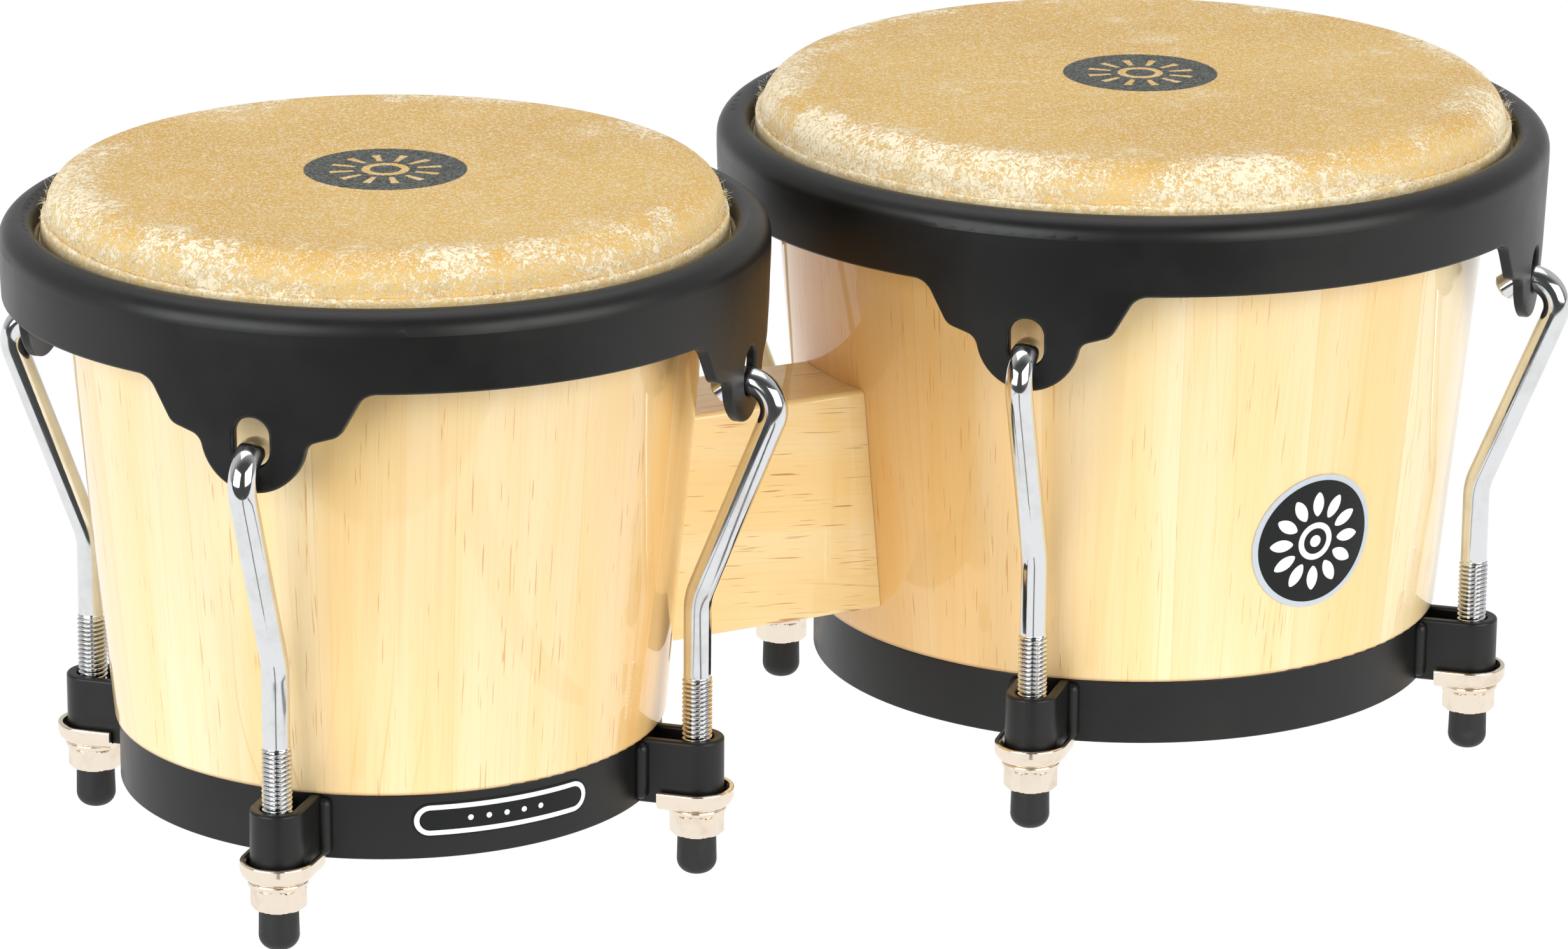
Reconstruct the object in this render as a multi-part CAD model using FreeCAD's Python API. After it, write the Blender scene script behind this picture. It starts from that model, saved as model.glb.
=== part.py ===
import FreeCAD, Part
import math
import os
from collections import namedtuple
from FreeCAD import Vector

# Bongo drums: a small drum (macho) and a large drum (hembra) bolted to one wooden block.
# Millimetres. +X runs from the macho to the hembra, +Y to the back, +Z up.
# The origin is under the middle of the whole object, on the floor that the rubber feet stand on.

# ---- heights above the floor -------------------------------------------------------------
CAP_TOP = 11.2
NUT_TOP = 17.6
WASHER_TOP = 19.1
RING_BOTTOM = 20.5
RING_TOP = 38.3
SHELL_BOTTOM = 21.1
THREAD_TOP = 55.4
HEAD_TOP = 185.8
RIM_CREST = 174.8
BAND_BOTTOM = 153.9
RAW_EDGE_TOP = 175.8

# ---- shells ------------------------------------------------------------------------------
WALL = 10.0
WOOD_EDGE_R = 1.0
RABBET_EDGE_R = 0.6
INNER_EDGE_R = 1.5
SKIN = 2.2
FIT_GAP = 0.05
SHELL_TOP = HEAD_TOP - SKIN - FIT_GAP

# ---- tension rim: a deep steel hoop with a rolled top and four lugs ----------------------
RIM_SHEET = 2.6
RIM_SHOULDER = 5.8
RIM_LIP_ROLL = 3.4
RIM_LIP_DROP = 2.2
RIM_LIP_EDGE_R = 0.8
BAND_WAIST = 166.0
BAND_TAPER = 0.035
BAND_WAIST_R = 40.0
BAND_EDGE_R = 0.9
LUG_TIP_R = 14.0
LUG_NOTCH_R = 4.0
LUG_TIP = 126.6
LUG_STEP_Y = 22.3
LUG_STEP_Z = 142.6
LUG_STEP_R = 4.0
LUG_SLOPE_DROP = 6.5
LUG_ROOT_Y = 28.6
LUG_ROOT_R = 5.5
LUG_SPREAD = 46.0
CUTTER = 24.0
CUT_MARGIN = 8.0
SLOT_WIDTH = 9.4
SLOT_BOTTOM = 133.4
SLOT_TOP = 146.5
LUG_ANGLES = {"front_left": 225, "front_right": 315, "back_right": 45, "back_left": 135}

# ---- flesh hoop that the skin is tucked round --------------------------------------------
HOOP_ROD = 5.0
HOOP_GAP = 0.3
TUCK_SPACE = HOOP_ROD + 2 * HOOP_GAP
TUCK_SLIT = 0.65
TUCK_EDGE = 1.8
EDGE_LEAN = 0.3

# ---- tuning hooks with an M8 thread ------------------------------------------------------
ROD = 7.3
THREAD = 8.0
HOOK_END_Z = 3.2
HOOK_KNEE_Z = 76.8
HOOK_KNEE_R = 18.0
HOOK_BEND_R = 7.6
HOOK_BEND_Z = 129.8
HOOK_BEND_INSET = 2.2
HOOK_BEND_END = 127.0
HOOK_STUB = 4.0
HOOK_CHAMFER = 0.8
THREAD_LEAD_IN = 0.6
THREAD_RUN_OUT = 0.3

# ---- foot stack --------------------------------------------------------------------------
NUT_FLATS = 13.0
NUT_BORE = THREAD / 2 + FIT_GAP
NUT_CHAMFER_IN = 0.25
BORE_CHAMFER = 0.6
WASHER_R = 7.9
CLEAR_HOLE_R = 4.4
SADDLE_SHEET = 1.4
SADDLE_R = 9.9
SADDLE_LIP = 24.4
SADDLE_TAIL = 8.2
SADDLE_BEND_R = 3.2
PRESSED_EDGE_R = 0.5
CAP_R_TOP = 5.15
CAP_R_BOTTOM = 5.4
CAP_FLOOR = 3.0
CAP_NOSE_R = 3.8
CAP_RIM_R = 0.4
CAP_GAP = 0.02

# ---- bottom ring and its welded brackets -------------------------------------------------
RING_SHEET = 2.0
RING_EDGE_R = 0.5
BRACKET_SHEET = 2.8
BRACKET_R = 7.2
BRACKET_EDGE_R = 0.8
WELD_R = 2.1
WELD_OUT = 0.5
WELD_FROM_BOTTOM = 1.2
WELD_FROM_TOP = 0.8

# ---- centre block and the two bolts that hold it -----------------------------------------
BLOCK_HALF_Y = 16.7
BLOCK_BOTTOM = 48.5
BLOCK_TOP = 111.7
BLOCK_ROUND = 1.5
BOLT_HEIGHTS = (62.0, 98.0)
BOLT_R = 4.0
BOLT_HOLE_R = 4.2
SEAT_R = 13.0
SEAT_DEPTH = 1.6
BIG_WASHER_R = 12.0
BIG_WASHER = 2.0
BOLT_HEAD = 5.3
BOLT_NUT = 6.5
BOLT_OVERRUN = 2.5

# ---- badge and ring label ----------------------------------------------------------------
BADGE_R = 19.1
BADGE_Z = 76.0
BADGE_ANGLE = 272.8
TRIM = 0.6
LABEL_SHEET = 0.3
LABEL_ANGLE = 269.1
LABEL_HALF_WIDTH = 25.0
LABEL_BOTTOM = 26.4
LABEL_TOP = 35.6
LABEL_ROUND = (LABEL_TOP - LABEL_BOTTOM) / 2 - FIT_GAP

# name, distance of its axis from the row origin along X, outer radius of the rim,
# outer radius of the shell at its top, shell taper, radius of the bottom ring, hook circle,
# rounding of the bearing edge
Drum = namedtuple("Drum", "name x rim_r top_r taper ring_r hook_r edge_r")
AXIS_DISTANCE = 228.2
MACHO_RIM_R = 101.0
HEMBRA_RIM_R = 115.3
LENGTH = AXIS_DISTANCE + MACHO_RIM_R + HEMBRA_RIM_R
MACHO_X = MACHO_RIM_R - LENGTH / 2
HEMBRA_X = LENGTH / 2 - HEMBRA_RIM_R
MACHO = Drum("macho", MACHO_X, MACHO_RIM_R, 87.1, 0.0925, 72.5, 85.8, 7.0)
HEMBRA = Drum("hembra", HEMBRA_X, HEMBRA_RIM_R, 101.8, 0.0937, 87.2, 100.5, 8.6)

Z_AXIS = Vector(0, 0, 1)
ORIGIN = Vector(0, 0, 0)


def in_xz(p):
    """Puts a profile point (radius, height) into the XZ plane."""
    return Vector(p.x, 0, p.y)


def in_xy(z):
    """Puts a plan point into the horizontal plane at height z."""
    return lambda p: Vector(p.x, p.y, z)


def in_yz(x):
    """Puts an elevation point (sideways, height) into the plane at distance x along X."""
    return lambda p: Vector(x, p.x, p.y)


def corner_span(before, here, after, radius):
    """Start, middle and end of the tangent arc that rounds one corner."""
    if radius <= 0:
        return here, None, here
    back = (before - here).normalize()
    on = (after - here).normalize()
    half = math.acos(max(-1.0, min(1.0, back.dot(on)))) / 2
    reach = radius / math.tan(half)
    middle = here + (back + on).normalize() * (radius / math.sin(half) - radius)
    return here + back * reach, middle, here + on * reach


def rounded_wire(corners, place):
    """Closed wire through (u, v, radius) corners, each rounded with a tangent arc."""
    points = [Vector(u, v, 0) for u, v, radius in corners]
    count = len(corners)
    spans = []
    for i in range(count):
        after = points[(i + 1) % count]
        spans.append(corner_span(points[i - 1], points[i], after, corners[i][2]))
    edges = []
    for i in range(count):
        start, middle, end = spans[i]
        if middle is not None:
            edges.append(Part.Arc(place(start), place(middle), place(end)).toShape())
        following = spans[(i + 1) % count][0]
        if end.distanceToPoint(following) > 1e-5:
            edges.append(Part.LineSegment(place(end), place(following)).toShape())
    return Part.Wire(edges)


def revolved(corners, turn=360):
    """Solid of revolution about Z from (radius, height, rounding) corners."""
    return Part.Face(rounded_wire(corners, in_xz)).revolve(ORIGIN, Z_AXIS, turn)


def at(shape, drum, angle=0.0, radius=0.0):
    """Copy of a shape, moved out to a radius along +X, then turned round the drum's axis."""
    placed = shape.copy()
    placed.translate(Vector(radius, 0, 0))
    placed.rotate(ORIGIN, Z_AXIS, angle)
    placed.translate(Vector(drum.x, 0, 0))
    return placed


def shell_r(drum, z):
    """Outer radius of the tapered shell at height z."""
    return drum.top_r - drum.taper * (SHELL_TOP - z)


def x_cylinder(radius, x0, x1, z):
    """Cylinder along X at height z, in the middle of the object."""
    return Part.makeCylinder(radius, x1 - x0, Vector(x0, 0, z), Vector(1, 0, 0))


# ---- wooden shell ------------------------------------------------------------------------
def inner_side(drum):
    """+1 for the drum whose block side faces +X, -1 for the other."""
    return 1 if drum.x < 0 else -1


def seat_face_x(drum, z):
    """Where the spot-faced seat of a block bolt lies on the inside of the shell."""
    return drum.x + inner_side(drum) * (shell_r(drum, z) - WALL + SEAT_DEPTH)


def shell(drum):
    inner = drum.ring_r - RING_SHEET - FIT_GAP
    body = revolved([
        (shell_r(drum, SHELL_BOTTOM) - WALL, SHELL_BOTTOM, WOOD_EDGE_R),
        (inner, SHELL_BOTTOM, WOOD_EDGE_R),
        (inner, RING_TOP + FIT_GAP, 0),
        (shell_r(drum, RING_TOP), RING_TOP + FIT_GAP, RABBET_EDGE_R),
        (drum.top_r, SHELL_TOP, drum.edge_r),
        (drum.top_r - WALL, SHELL_TOP, INNER_EDGE_R),
    ])
    body = at(body, drum)
    side = inner_side(drum)
    for z in BOLT_HEIGHTS:
        ends = sorted([drum.x, drum.x + side * (shell_r(drum, z) + 5)])
        body = body.cut(x_cylinder(BOLT_HOLE_R, ends[0], ends[1], z))
        seat = sorted([drum.x, seat_face_x(drum, z)])
        body = body.cut(x_cylinder(SEAT_R, seat[0], seat[1], z))
    return body


# ---- head skin and flesh hoop ------------------------------------------------------------
def skin_levels(drum):
    """Collar radius beside the hoop, and the hoop's centre height."""
    lip_end = RIM_CREST - RIM_LIP_ROLL - RIM_LIP_DROP
    hoop_z = lip_end - FIT_GAP - SKIN - TUCK_SPACE / 2
    collar = shell_r(drum, hoop_z) + FIT_GAP + SKIN
    return collar, hoop_z


def head_skin(drum):
    """One hide: flat top, collar down the shell, tucked round the hoop and up again."""
    collar, hoop_z = skin_levels(drum)
    half = TUCK_SPACE / 2
    low = hoop_z - half
    high = hoop_z + half
    out = collar + TUCK_SPACE
    slit = collar + TUCK_SLIT
    bottom_in = shell_r(drum, low - SKIN) + FIT_GAP
    top_in = shell_r(drum, HEAD_TOP - SKIN) + FIT_GAP
    return at(revolved([
        (0, HEAD_TOP - SKIN, 0),
        (top_in, HEAD_TOP - SKIN, drum.edge_r),
        (bottom_in, low - SKIN, 1.5),
        (out + SKIN, low - SKIN, half + SKIN - 0.1),
        (out + SKIN, high + SKIN, half + SKIN - 0.1),
        (slit + TUCK_EDGE, high + SKIN, 0.2),
        (slit + TUCK_EDGE + EDGE_LEAN, RAW_EDGE_TOP, EDGE_LEAN),
        (slit + EDGE_LEAN, RAW_EDGE_TOP, EDGE_LEAN),
        (slit, high, 0),
        (out, high, half - 0.1),
        (out, low, half - 0.1),
        (shell_r(drum, low) + FIT_GAP + SKIN, low, 0.5),
        (shell_r(drum, HEAD_TOP) + FIT_GAP + SKIN, HEAD_TOP, drum.edge_r + SKIN),
        (0, HEAD_TOP, 0),
    ]), drum)


def flesh_hoop(drum):
    """Round steel rod bent into a ring, inside the tuck of the skin."""
    collar, hoop_z = skin_levels(drum)
    ring = Part.makeTorus(collar + TUCK_SPACE / 2, HOOP_ROD / 2, Vector(0, 0, hoop_z))
    return at(ring, drum)


# ---- tension rim -------------------------------------------------------------------------
def lug_prism(drum):
    """Outline of one lug, pushed through the band along +X: slanted flanks, small steps, round tip."""
    x0 = drum.rim_r - CUTTER / 2
    middle_z = LUG_TIP + LUG_TIP_R
    right = [
        (0, LUG_STEP_Z - LUG_SLOPE_DROP, 0),
        (LUG_STEP_Y, LUG_STEP_Z, LUG_STEP_R),
        (LUG_ROOT_Y, BAND_BOTTOM, LUG_ROOT_R),
        (LUG_SPREAD, BAND_BOTTOM, 0),
        (LUG_SPREAD, BAND_BOTTOM + CUT_MARGIN, 0),
    ]
    left = [(-u, v, radius) for u, v, radius in reversed(right[1:])]
    face = Part.Face(rounded_wire(right + left, in_yz(x0)))
    tip = Part.makeCylinder(LUG_TIP_R, CUTTER, Vector(x0, 0, middle_z), Vector(1, 0, 0))
    lug = face.extrude(Vector(CUTTER, 0, 0)).fuse(tip).removeSplitter()
    notches = []
    for edge in lug.Edges:
        centre = edge.BoundBox.Center
        beside_tip = abs(abs(centre.y) - LUG_TIP_R) < 1 and abs(centre.z - middle_z) < 3
        if beside_tip and edge.BoundBox.XLength > CUTTER - 1:
            notches.append(edge)
    return lug.makeFillet(LUG_NOTCH_R, notches)


def slot_prism(drum):
    """Obround slot for the hook, pushed through the band along +X."""
    half = SLOT_WIDTH / 2
    end_r = half - FIT_GAP
    corners = [
        (-half, SLOT_BOTTOM, end_r),
        (half, SLOT_BOTTOM, end_r),
        (half, SLOT_TOP, end_r),
        (-half, SLOT_TOP, end_r),
    ]
    face = Part.Face(rounded_wire(corners, in_yz(drum.rim_r - CUTTER / 2)))
    return face.extrude(Vector(CUTTER, 0, 0))


def band_r(drum, z):
    """Outer radius of the band, which narrows a little towards the lug tips."""
    return drum.rim_r - BAND_TAPER * (BAND_WAIST - z)


def band_edges(rim, drum):
    """Edges of the lugs, the slots and the bottom of the band on the outside of the rim."""
    found = []
    for edge in rim.Edges:
        spots = [edge.valueAt(edge.FirstParameter + share * (edge.LastParameter - edge.FirstParameter))
                 for share in (0.1, 0.5, 0.9)]
        low = all(p.z < BAND_BOTTOM + FIT_GAP for p in spots)
        outside = all(abs(math.hypot(p.x, p.y) - band_r(drum, p.z)) < FIT_GAP for p in spots)
        if low and outside:
            found.append(edge)
    return found


def tension_rim(drum):
    outer = drum.rim_r
    inner = outer - RIM_SHEET
    low = LUG_TIP - 2
    lip_out = outer - RIM_SHOULDER - RIM_LIP_ROLL
    lip_in = lip_out + RIM_SHEET
    lip_end = RIM_CREST - RIM_LIP_ROLL - RIM_LIP_DROP
    under = RIM_CREST - RIM_SHEET
    rim = revolved([
        (band_r(drum, low) - RIM_SHEET, low, 0),
        (band_r(drum, low), low, 0),
        (outer, BAND_WAIST, BAND_WAIST_R),
        (outer, RIM_CREST, RIM_SHOULDER),
        (lip_out, RIM_CREST, RIM_LIP_ROLL - FIT_GAP),
        (lip_out, lip_end, RIM_LIP_EDGE_R),
        (lip_in, lip_end, RIM_LIP_EDGE_R),
        (lip_in, under, RIM_LIP_ROLL - RIM_SHEET),
        (inner, under, RIM_SHOULDER - RIM_SHEET),
        (inner, BAND_WAIST, BAND_WAIST_R),
    ])
    base = Vector(0, 0, LUG_TIP - CUT_MARGIN)
    height = BAND_BOTTOM - base.z
    tube = Part.makeCylinder(outer + RIM_SHEET, height, base)
    waste = tube.cut(Part.makeCylinder(inner - RIM_SHEET, height, base))
    for angle in LUG_ANGLES.values():
        lug = lug_prism(drum)
        lug.rotate(ORIGIN, Z_AXIS, angle)
        waste = waste.cut(lug)
    rim = rim.cut(waste)
    for angle in LUG_ANGLES.values():
        slot = slot_prism(drum)
        slot.rotate(ORIGIN, Z_AXIS, angle)
        rim = rim.cut(slot)
    rim = rim.removeSplitter()
    return at(rim.makeFillet(BAND_EDGE_R, band_edges(rim, drum)), drum)


# ---- tuning hook -------------------------------------------------------------------------
def hook(drum):
    """J-shaped rod: threaded foot, knee, leaning leg, and a hook through the lug's slot."""
    knee = Vector(drum.hook_r, 0, HOOK_KNEE_Z)
    centre = Vector(drum.rim_r - HOOK_BEND_INSET, 0, HOOK_BEND_Z)
    span = centre - knee
    lean = math.atan2(span.z, span.x) - math.asin(HOOK_BEND_R / span.Length)
    along = Vector(math.cos(lean), 0, math.sin(lean))
    touch = knee + along * math.sqrt(span.Length ** 2 - HOOK_BEND_R ** 2)

    foot = Vector(drum.hook_r, 0, HOOK_END_Z)
    knee_start, knee_middle, knee_end = corner_span(foot, knee, touch, HOOK_KNEE_R)

    def on_bend(angle):
        return centre + Vector(math.cos(angle), 0, math.sin(angle)) * HOOK_BEND_R

    first = lean - math.pi / 2
    last = math.radians(HOOK_BEND_END)
    stub = Vector(-math.sin(last), 0, math.cos(last)) * HOOK_STUB
    path = Part.Wire([
        Part.LineSegment(foot, knee_start).toShape(),
        Part.Arc(knee_start, knee_middle, knee_end).toShape(),
        Part.LineSegment(knee_end, touch).toShape(),
        Part.Arc(touch, on_bend((first + last) / 2), on_bend(last)).toShape(),
        Part.LineSegment(on_bend(last), on_bend(last) + stub).toShape(),
    ])
    section = Part.Wire([Part.makeCircle(ROD / 2, foot, Z_AXIS)])
    rod = path.makePipeShell([section], True, False)
    tip = on_bend(last) + stub
    rims = [e for e in rod.Edges if e.BoundBox.Center.distanceToPoint(tip) < 0.5]
    rod = rod.makeChamfer(HOOK_CHAMFER, rims)
    thread = revolved([
        (0, HOOK_END_Z, 0),
        (THREAD / 2, HOOK_END_Z, THREAD_LEAD_IN),
        (THREAD / 2, THREAD_TOP, THREAD_RUN_OUT),
        (0, THREAD_TOP, 0),
    ])
    thread.translate(Vector(drum.hook_r, 0, 0))
    return rod.fuse(thread).removeSplitter()


# ---- foot stack: nut, washer, saddle plate, rubber cap -----------------------------------
def hexagon(flats, z0, z1):
    """Hexagonal prism along Z with both ends chamfered."""
    corner = flats / math.sqrt(3)
    points = []
    for i in range(7):
        turn = math.radians(60 * i)
        points.append(Vector(corner * math.cos(turn), corner * math.sin(turn), z0))
    prism = Part.Face(Part.makePolygon(points)).extrude(Vector(0, 0, z1 - z0))
    land = flats / 2 - NUT_CHAMFER_IN
    drop = (corner - land) * math.tan(math.radians(30))
    turned = revolved([
        (0, z0, 0),
        (land, z0, 0),
        (corner, z0 + drop, 0),
        (corner, z1 - drop, 0),
        (land, z1, 0),
        (0, z1, 0),
    ])
    return prism.common(turned)


def nut():
    body = hexagon(NUT_FLATS, CAP_TOP, NUT_TOP)
    mouth = NUT_BORE + BORE_CHAMFER
    bore = revolved([
        (0, CAP_TOP - 1, 0),
        (mouth, CAP_TOP - 1, 0),
        (mouth, CAP_TOP, 0),
        (NUT_BORE, CAP_TOP + BORE_CHAMFER, 0),
        (NUT_BORE, NUT_TOP - BORE_CHAMFER, 0),
        (mouth, NUT_TOP, 0),
        (mouth, NUT_TOP + 1, 0),
        (0, NUT_TOP + 1, 0),
    ])
    return body.cut(bore)


def washer():
    return revolved([
        (CLEAR_HOLE_R, NUT_TOP, 0),
        (WASHER_R, NUT_TOP, PRESSED_EDGE_R),
        (WASHER_R, WASHER_TOP, PRESSED_EDGE_R),
        (CLEAR_HOLE_R, WASHER_TOP, 0),
    ])


def saddle_plate():
    """Pressed plate under a bracket: a floor with a lip round its outer end and sides."""
    lip_in = SADDLE_R - SADDLE_SHEET
    half = [
        (SADDLE_R, WASHER_TOP, SADDLE_BEND_R),
        (SADDLE_R, SADDLE_LIP, PRESSED_EDGE_R),
        (lip_in, SADDLE_LIP, PRESSED_EDGE_R),
        (lip_in, RING_BOTTOM, SADDLE_BEND_R - SADDLE_SHEET),
    ]
    nose = revolved([(0, WASHER_TOP, 0)] + half + [(0, RING_BOTTOM, 0)], 180)
    nose.rotate(ORIGIN, Z_AXIS, -90)
    other = [(-u, v, radius) for u, v, radius in reversed(half)]
    tail = Part.Face(rounded_wire(half + other, in_yz(0))).extrude(Vector(-SADDLE_TAIL, 0, 0))
    hole = Part.makeCylinder(CLEAR_HOLE_R, 10, Vector(0, 0, WASHER_TOP - 5))
    return nose.fuse(tail).removeSplitter().cut(hole)


def foot_cap():
    bore = THREAD / 2 + CAP_GAP
    return revolved([
        (0, 0, 0),
        (CAP_R_BOTTOM, 0, CAP_NOSE_R),
        (CAP_R_TOP, CAP_TOP, CAP_RIM_R),
        (bore, CAP_TOP, 0),
        (bore, CAP_FLOOR, 0),
        (0, CAP_FLOOR, 0),
    ])


# ---- bottom ring and brackets ------------------------------------------------------------
def bottom_ring(drum):
    inner = drum.ring_r - RING_SHEET
    return at(revolved([
        (inner, RING_BOTTOM, RING_EDGE_R),
        (drum.ring_r, RING_BOTTOM, RING_EDGE_R),
        (drum.ring_r, RING_TOP, RING_EDGE_R),
        (inner, RING_TOP, RING_EDGE_R),
    ]), drum)


def u_face(drum, radius, z):
    """Plan of a U round the hook axis, open towards the drum."""
    tail = drum.ring_r - drum.hook_r - 6
    corners = [
        (tail, -radius, 0),
        (radius, -radius, radius - FIT_GAP),
        (radius, radius, radius - FIT_GAP),
        (tail, radius, 0),
    ]
    return Part.Face(rounded_wire(corners, in_xy(z)))


def bracket(drum):
    """Bent strap round a hook, with the weld beads that join its legs to the ring."""
    height = RING_TOP - RING_BOTTOM
    strap = u_face(drum, BRACKET_R, RING_BOTTOM).extrude(Vector(0, 0, height))
    gap = u_face(drum, BRACKET_R - BRACKET_SHEET, RING_BOTTOM - 1)
    strap = strap.cut(gap.extrude(Vector(0, 0, height + 2)))
    level = [edge for edge in strap.Edges if edge.BoundBox.ZLength < FIT_GAP]
    strap = strap.makeFillet(BRACKET_EDGE_R, level)
    bead_y = BRACKET_R + WELD_OUT
    bead_x = math.sqrt((drum.ring_r + WELD_OUT) ** 2 - bead_y ** 2) - drum.hook_r
    low = RING_BOTTOM + WELD_FROM_BOTTOM
    high = RING_TOP - WELD_FROM_TOP
    bead = revolved([
        (0, low, 0),
        (WELD_R, low, WELD_R - FIT_GAP),
        (WELD_R, high, WELD_R - FIT_GAP),
        (0, high, 0),
    ])
    for side in (-1, 1):
        placed = bead.copy()
        placed.translate(Vector(bead_x, side * bead_y, 0))
        strap = strap.fuse(placed)
    core = Part.makeCylinder(drum.ring_r, 60, Vector(-drum.hook_r, 0, 0))
    return strap.cut(core)


# ---- centre block with its bolts ---------------------------------------------------------
def cone_of(drum, gap):
    """Solid taper that follows the outside of a shell, a gap larger."""
    return at(revolved([
        (0, 0, 0),
        (shell_r(drum, 0) + gap, 0, 0),
        (shell_r(drum, HEAD_TOP) + gap, HEAD_TOP, 0),
        (0, HEAD_TOP, 0),
    ]), drum)


def center_block():
    x0 = MACHO.x
    x1 = HEMBRA.x
    corners = [
        (-BLOCK_HALF_Y, BLOCK_BOTTOM, BLOCK_ROUND),
        (BLOCK_HALF_Y, BLOCK_BOTTOM, BLOCK_ROUND),
        (BLOCK_HALF_Y, BLOCK_TOP, BLOCK_ROUND),
        (-BLOCK_HALF_Y, BLOCK_TOP, BLOCK_ROUND),
    ]
    block = Part.Face(rounded_wire(corners, in_yz(x0))).extrude(Vector(x1 - x0, 0, 0))
    block = block.cut(cone_of(MACHO, FIT_GAP))
    block = block.cut(cone_of(HEMBRA, FIT_GAP))
    for z in BOLT_HEIGHTS:
        block = block.cut(x_cylinder(BOLT_HOLE_R, x0, x1, z))
    return block


def laid_along_x(shape, x, z, forward):
    """Turns a piece made along Z to lie along X, with its base at x."""
    laid = shape.copy()
    laid.rotate(ORIGIN, Vector(0, 1, 0), 90 if forward else -90)
    laid.translate(Vector(x, 0, z))
    return laid


def block_fasteners():
    """Two long bolts through shells and block, their nuts and their broad washers."""
    bolts, nuts, washers = [], [], []
    plain = Part.makeCylinder(BIG_WASHER_R, BIG_WASHER)
    plain = plain.cut(Part.makeCylinder(BOLT_HOLE_R, BIG_WASHER))
    head = hexagon(NUT_FLATS, 0, BOLT_HEAD)
    ring = hexagon(NUT_FLATS, 0, BOLT_NUT)
    ring = ring.cut(Part.makeCylinder(BOLT_R + FIT_GAP, BOLT_NUT))
    for z in BOLT_HEIGHTS:
        start = seat_face_x(MACHO, z)
        end = seat_face_x(HEMBRA, z)
        washers.append(laid_along_x(plain, start, z, False))
        washers.append(laid_along_x(plain, end, z, True))
        far_end = end + BIG_WASHER + BOLT_NUT + BOLT_OVERRUN
        shank = x_cylinder(BOLT_R, start - BIG_WASHER, far_end, z)
        bolts.append(laid_along_x(head, start - BIG_WASHER, z, False).fuse(shank).removeSplitter())
        nuts.append(laid_along_x(ring, end + BIG_WASHER, z, True))
    return bolts, nuts, washers


# ---- trim --------------------------------------------------------------------------------
def badge():
    """Thin round plate that follows the front of the hembra shell."""
    turn = math.radians(BADGE_ANGLE)
    facing = Vector(math.cos(turn), math.sin(turn), 0)
    start = Vector(HEMBRA.x, 0, BADGE_Z) + facing * 60
    plug = Part.makeCylinder(BADGE_R, 60, start, facing)
    return plug.common(cone_of(HEMBRA, FIT_GAP + TRIM)).cut(cone_of(HEMBRA, FIT_GAP))


def ring_label():
    """Thin name plate, left blank, that follows the front of the macho bottom ring."""
    inner = MACHO.ring_r + FIT_GAP
    corners = [
        (-LABEL_HALF_WIDTH, LABEL_BOTTOM, LABEL_ROUND),
        (LABEL_HALF_WIDTH, LABEL_BOTTOM, LABEL_ROUND),
        (LABEL_HALF_WIDTH, LABEL_TOP, LABEL_ROUND),
        (-LABEL_HALF_WIDTH, LABEL_TOP, LABEL_ROUND),
    ]
    prism = Part.Face(rounded_wire(corners, in_yz(20))).extrude(Vector(80, 0, 0))
    tube = Part.makeCylinder(inner + LABEL_SHEET, 60).cut(Part.makeCylinder(inner, 60))
    return at(prism.common(tube), MACHO, LABEL_ANGLE)


# ---- the whole object --------------------------------------------------------------------
def drum_nodes(drum):
    """Every node of one drum, by name."""
    nodes = {
        "shell": shell(drum),
        "head_skin": head_skin(drum),
        "flesh_hoop": flesh_hoop(drum),
        "tension_rim": tension_rim(drum),
        "bottom_ring": bottom_ring(drum),
    }
    one_bracket = bracket(drum)
    one_hook = hook(drum)
    brackets, washers = [], []
    for corner, angle in LUG_ANGLES.items():
        brackets.append(at(one_bracket, drum, angle, drum.hook_r))
        washers.append(at(washer(), drum, angle, drum.hook_r))
        nodes[corner + "_hook"] = at(one_hook, drum, angle)
        nodes[corner + "_nut"] = at(nut(), drum, angle, drum.hook_r)
        nodes[corner + "_saddle_plate"] = at(saddle_plate(), drum, angle, drum.hook_r)
        nodes[corner + "_foot_cap"] = at(foot_cap(), drum, angle, drum.hook_r)
    nodes["ring_brackets"] = Part.makeCompound(brackets)
    nodes["foot_washers"] = Part.makeCompound(washers)
    return {drum.name + "_" + name: shape for name, shape in nodes.items()}


def all_nodes():
    nodes = {}
    for drum in (MACHO, HEMBRA):
        nodes.update(drum_nodes(drum))
    bolts, nuts, washers = block_fasteners()
    nodes["center_block"] = center_block()
    nodes["block_bolts"] = Part.makeCompound(bolts)
    nodes["block_nuts"] = Part.makeCompound(nuts)
    nodes["block_washers"] = Part.makeCompound(washers)
    nodes["hembra_badge"] = badge()
    nodes["macho_ring_label"] = ring_label()
    return nodes


os.makedirs("parts", exist_ok=True)
for name, shape in sorted(all_nodes().items()):
    valid = shape.isValid() and all(s.isClosed() for s in shape.Shells)
    print(f"{name:34s} solids {len(shape.Solids)} volume {shape.Volume:10.1f} valid {valid}")
    shape.exportStep(f"parts/{name}.step")
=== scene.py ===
import math
import random

import bmesh
import bpy
from mathutils import Matrix, Vector, noise

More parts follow.
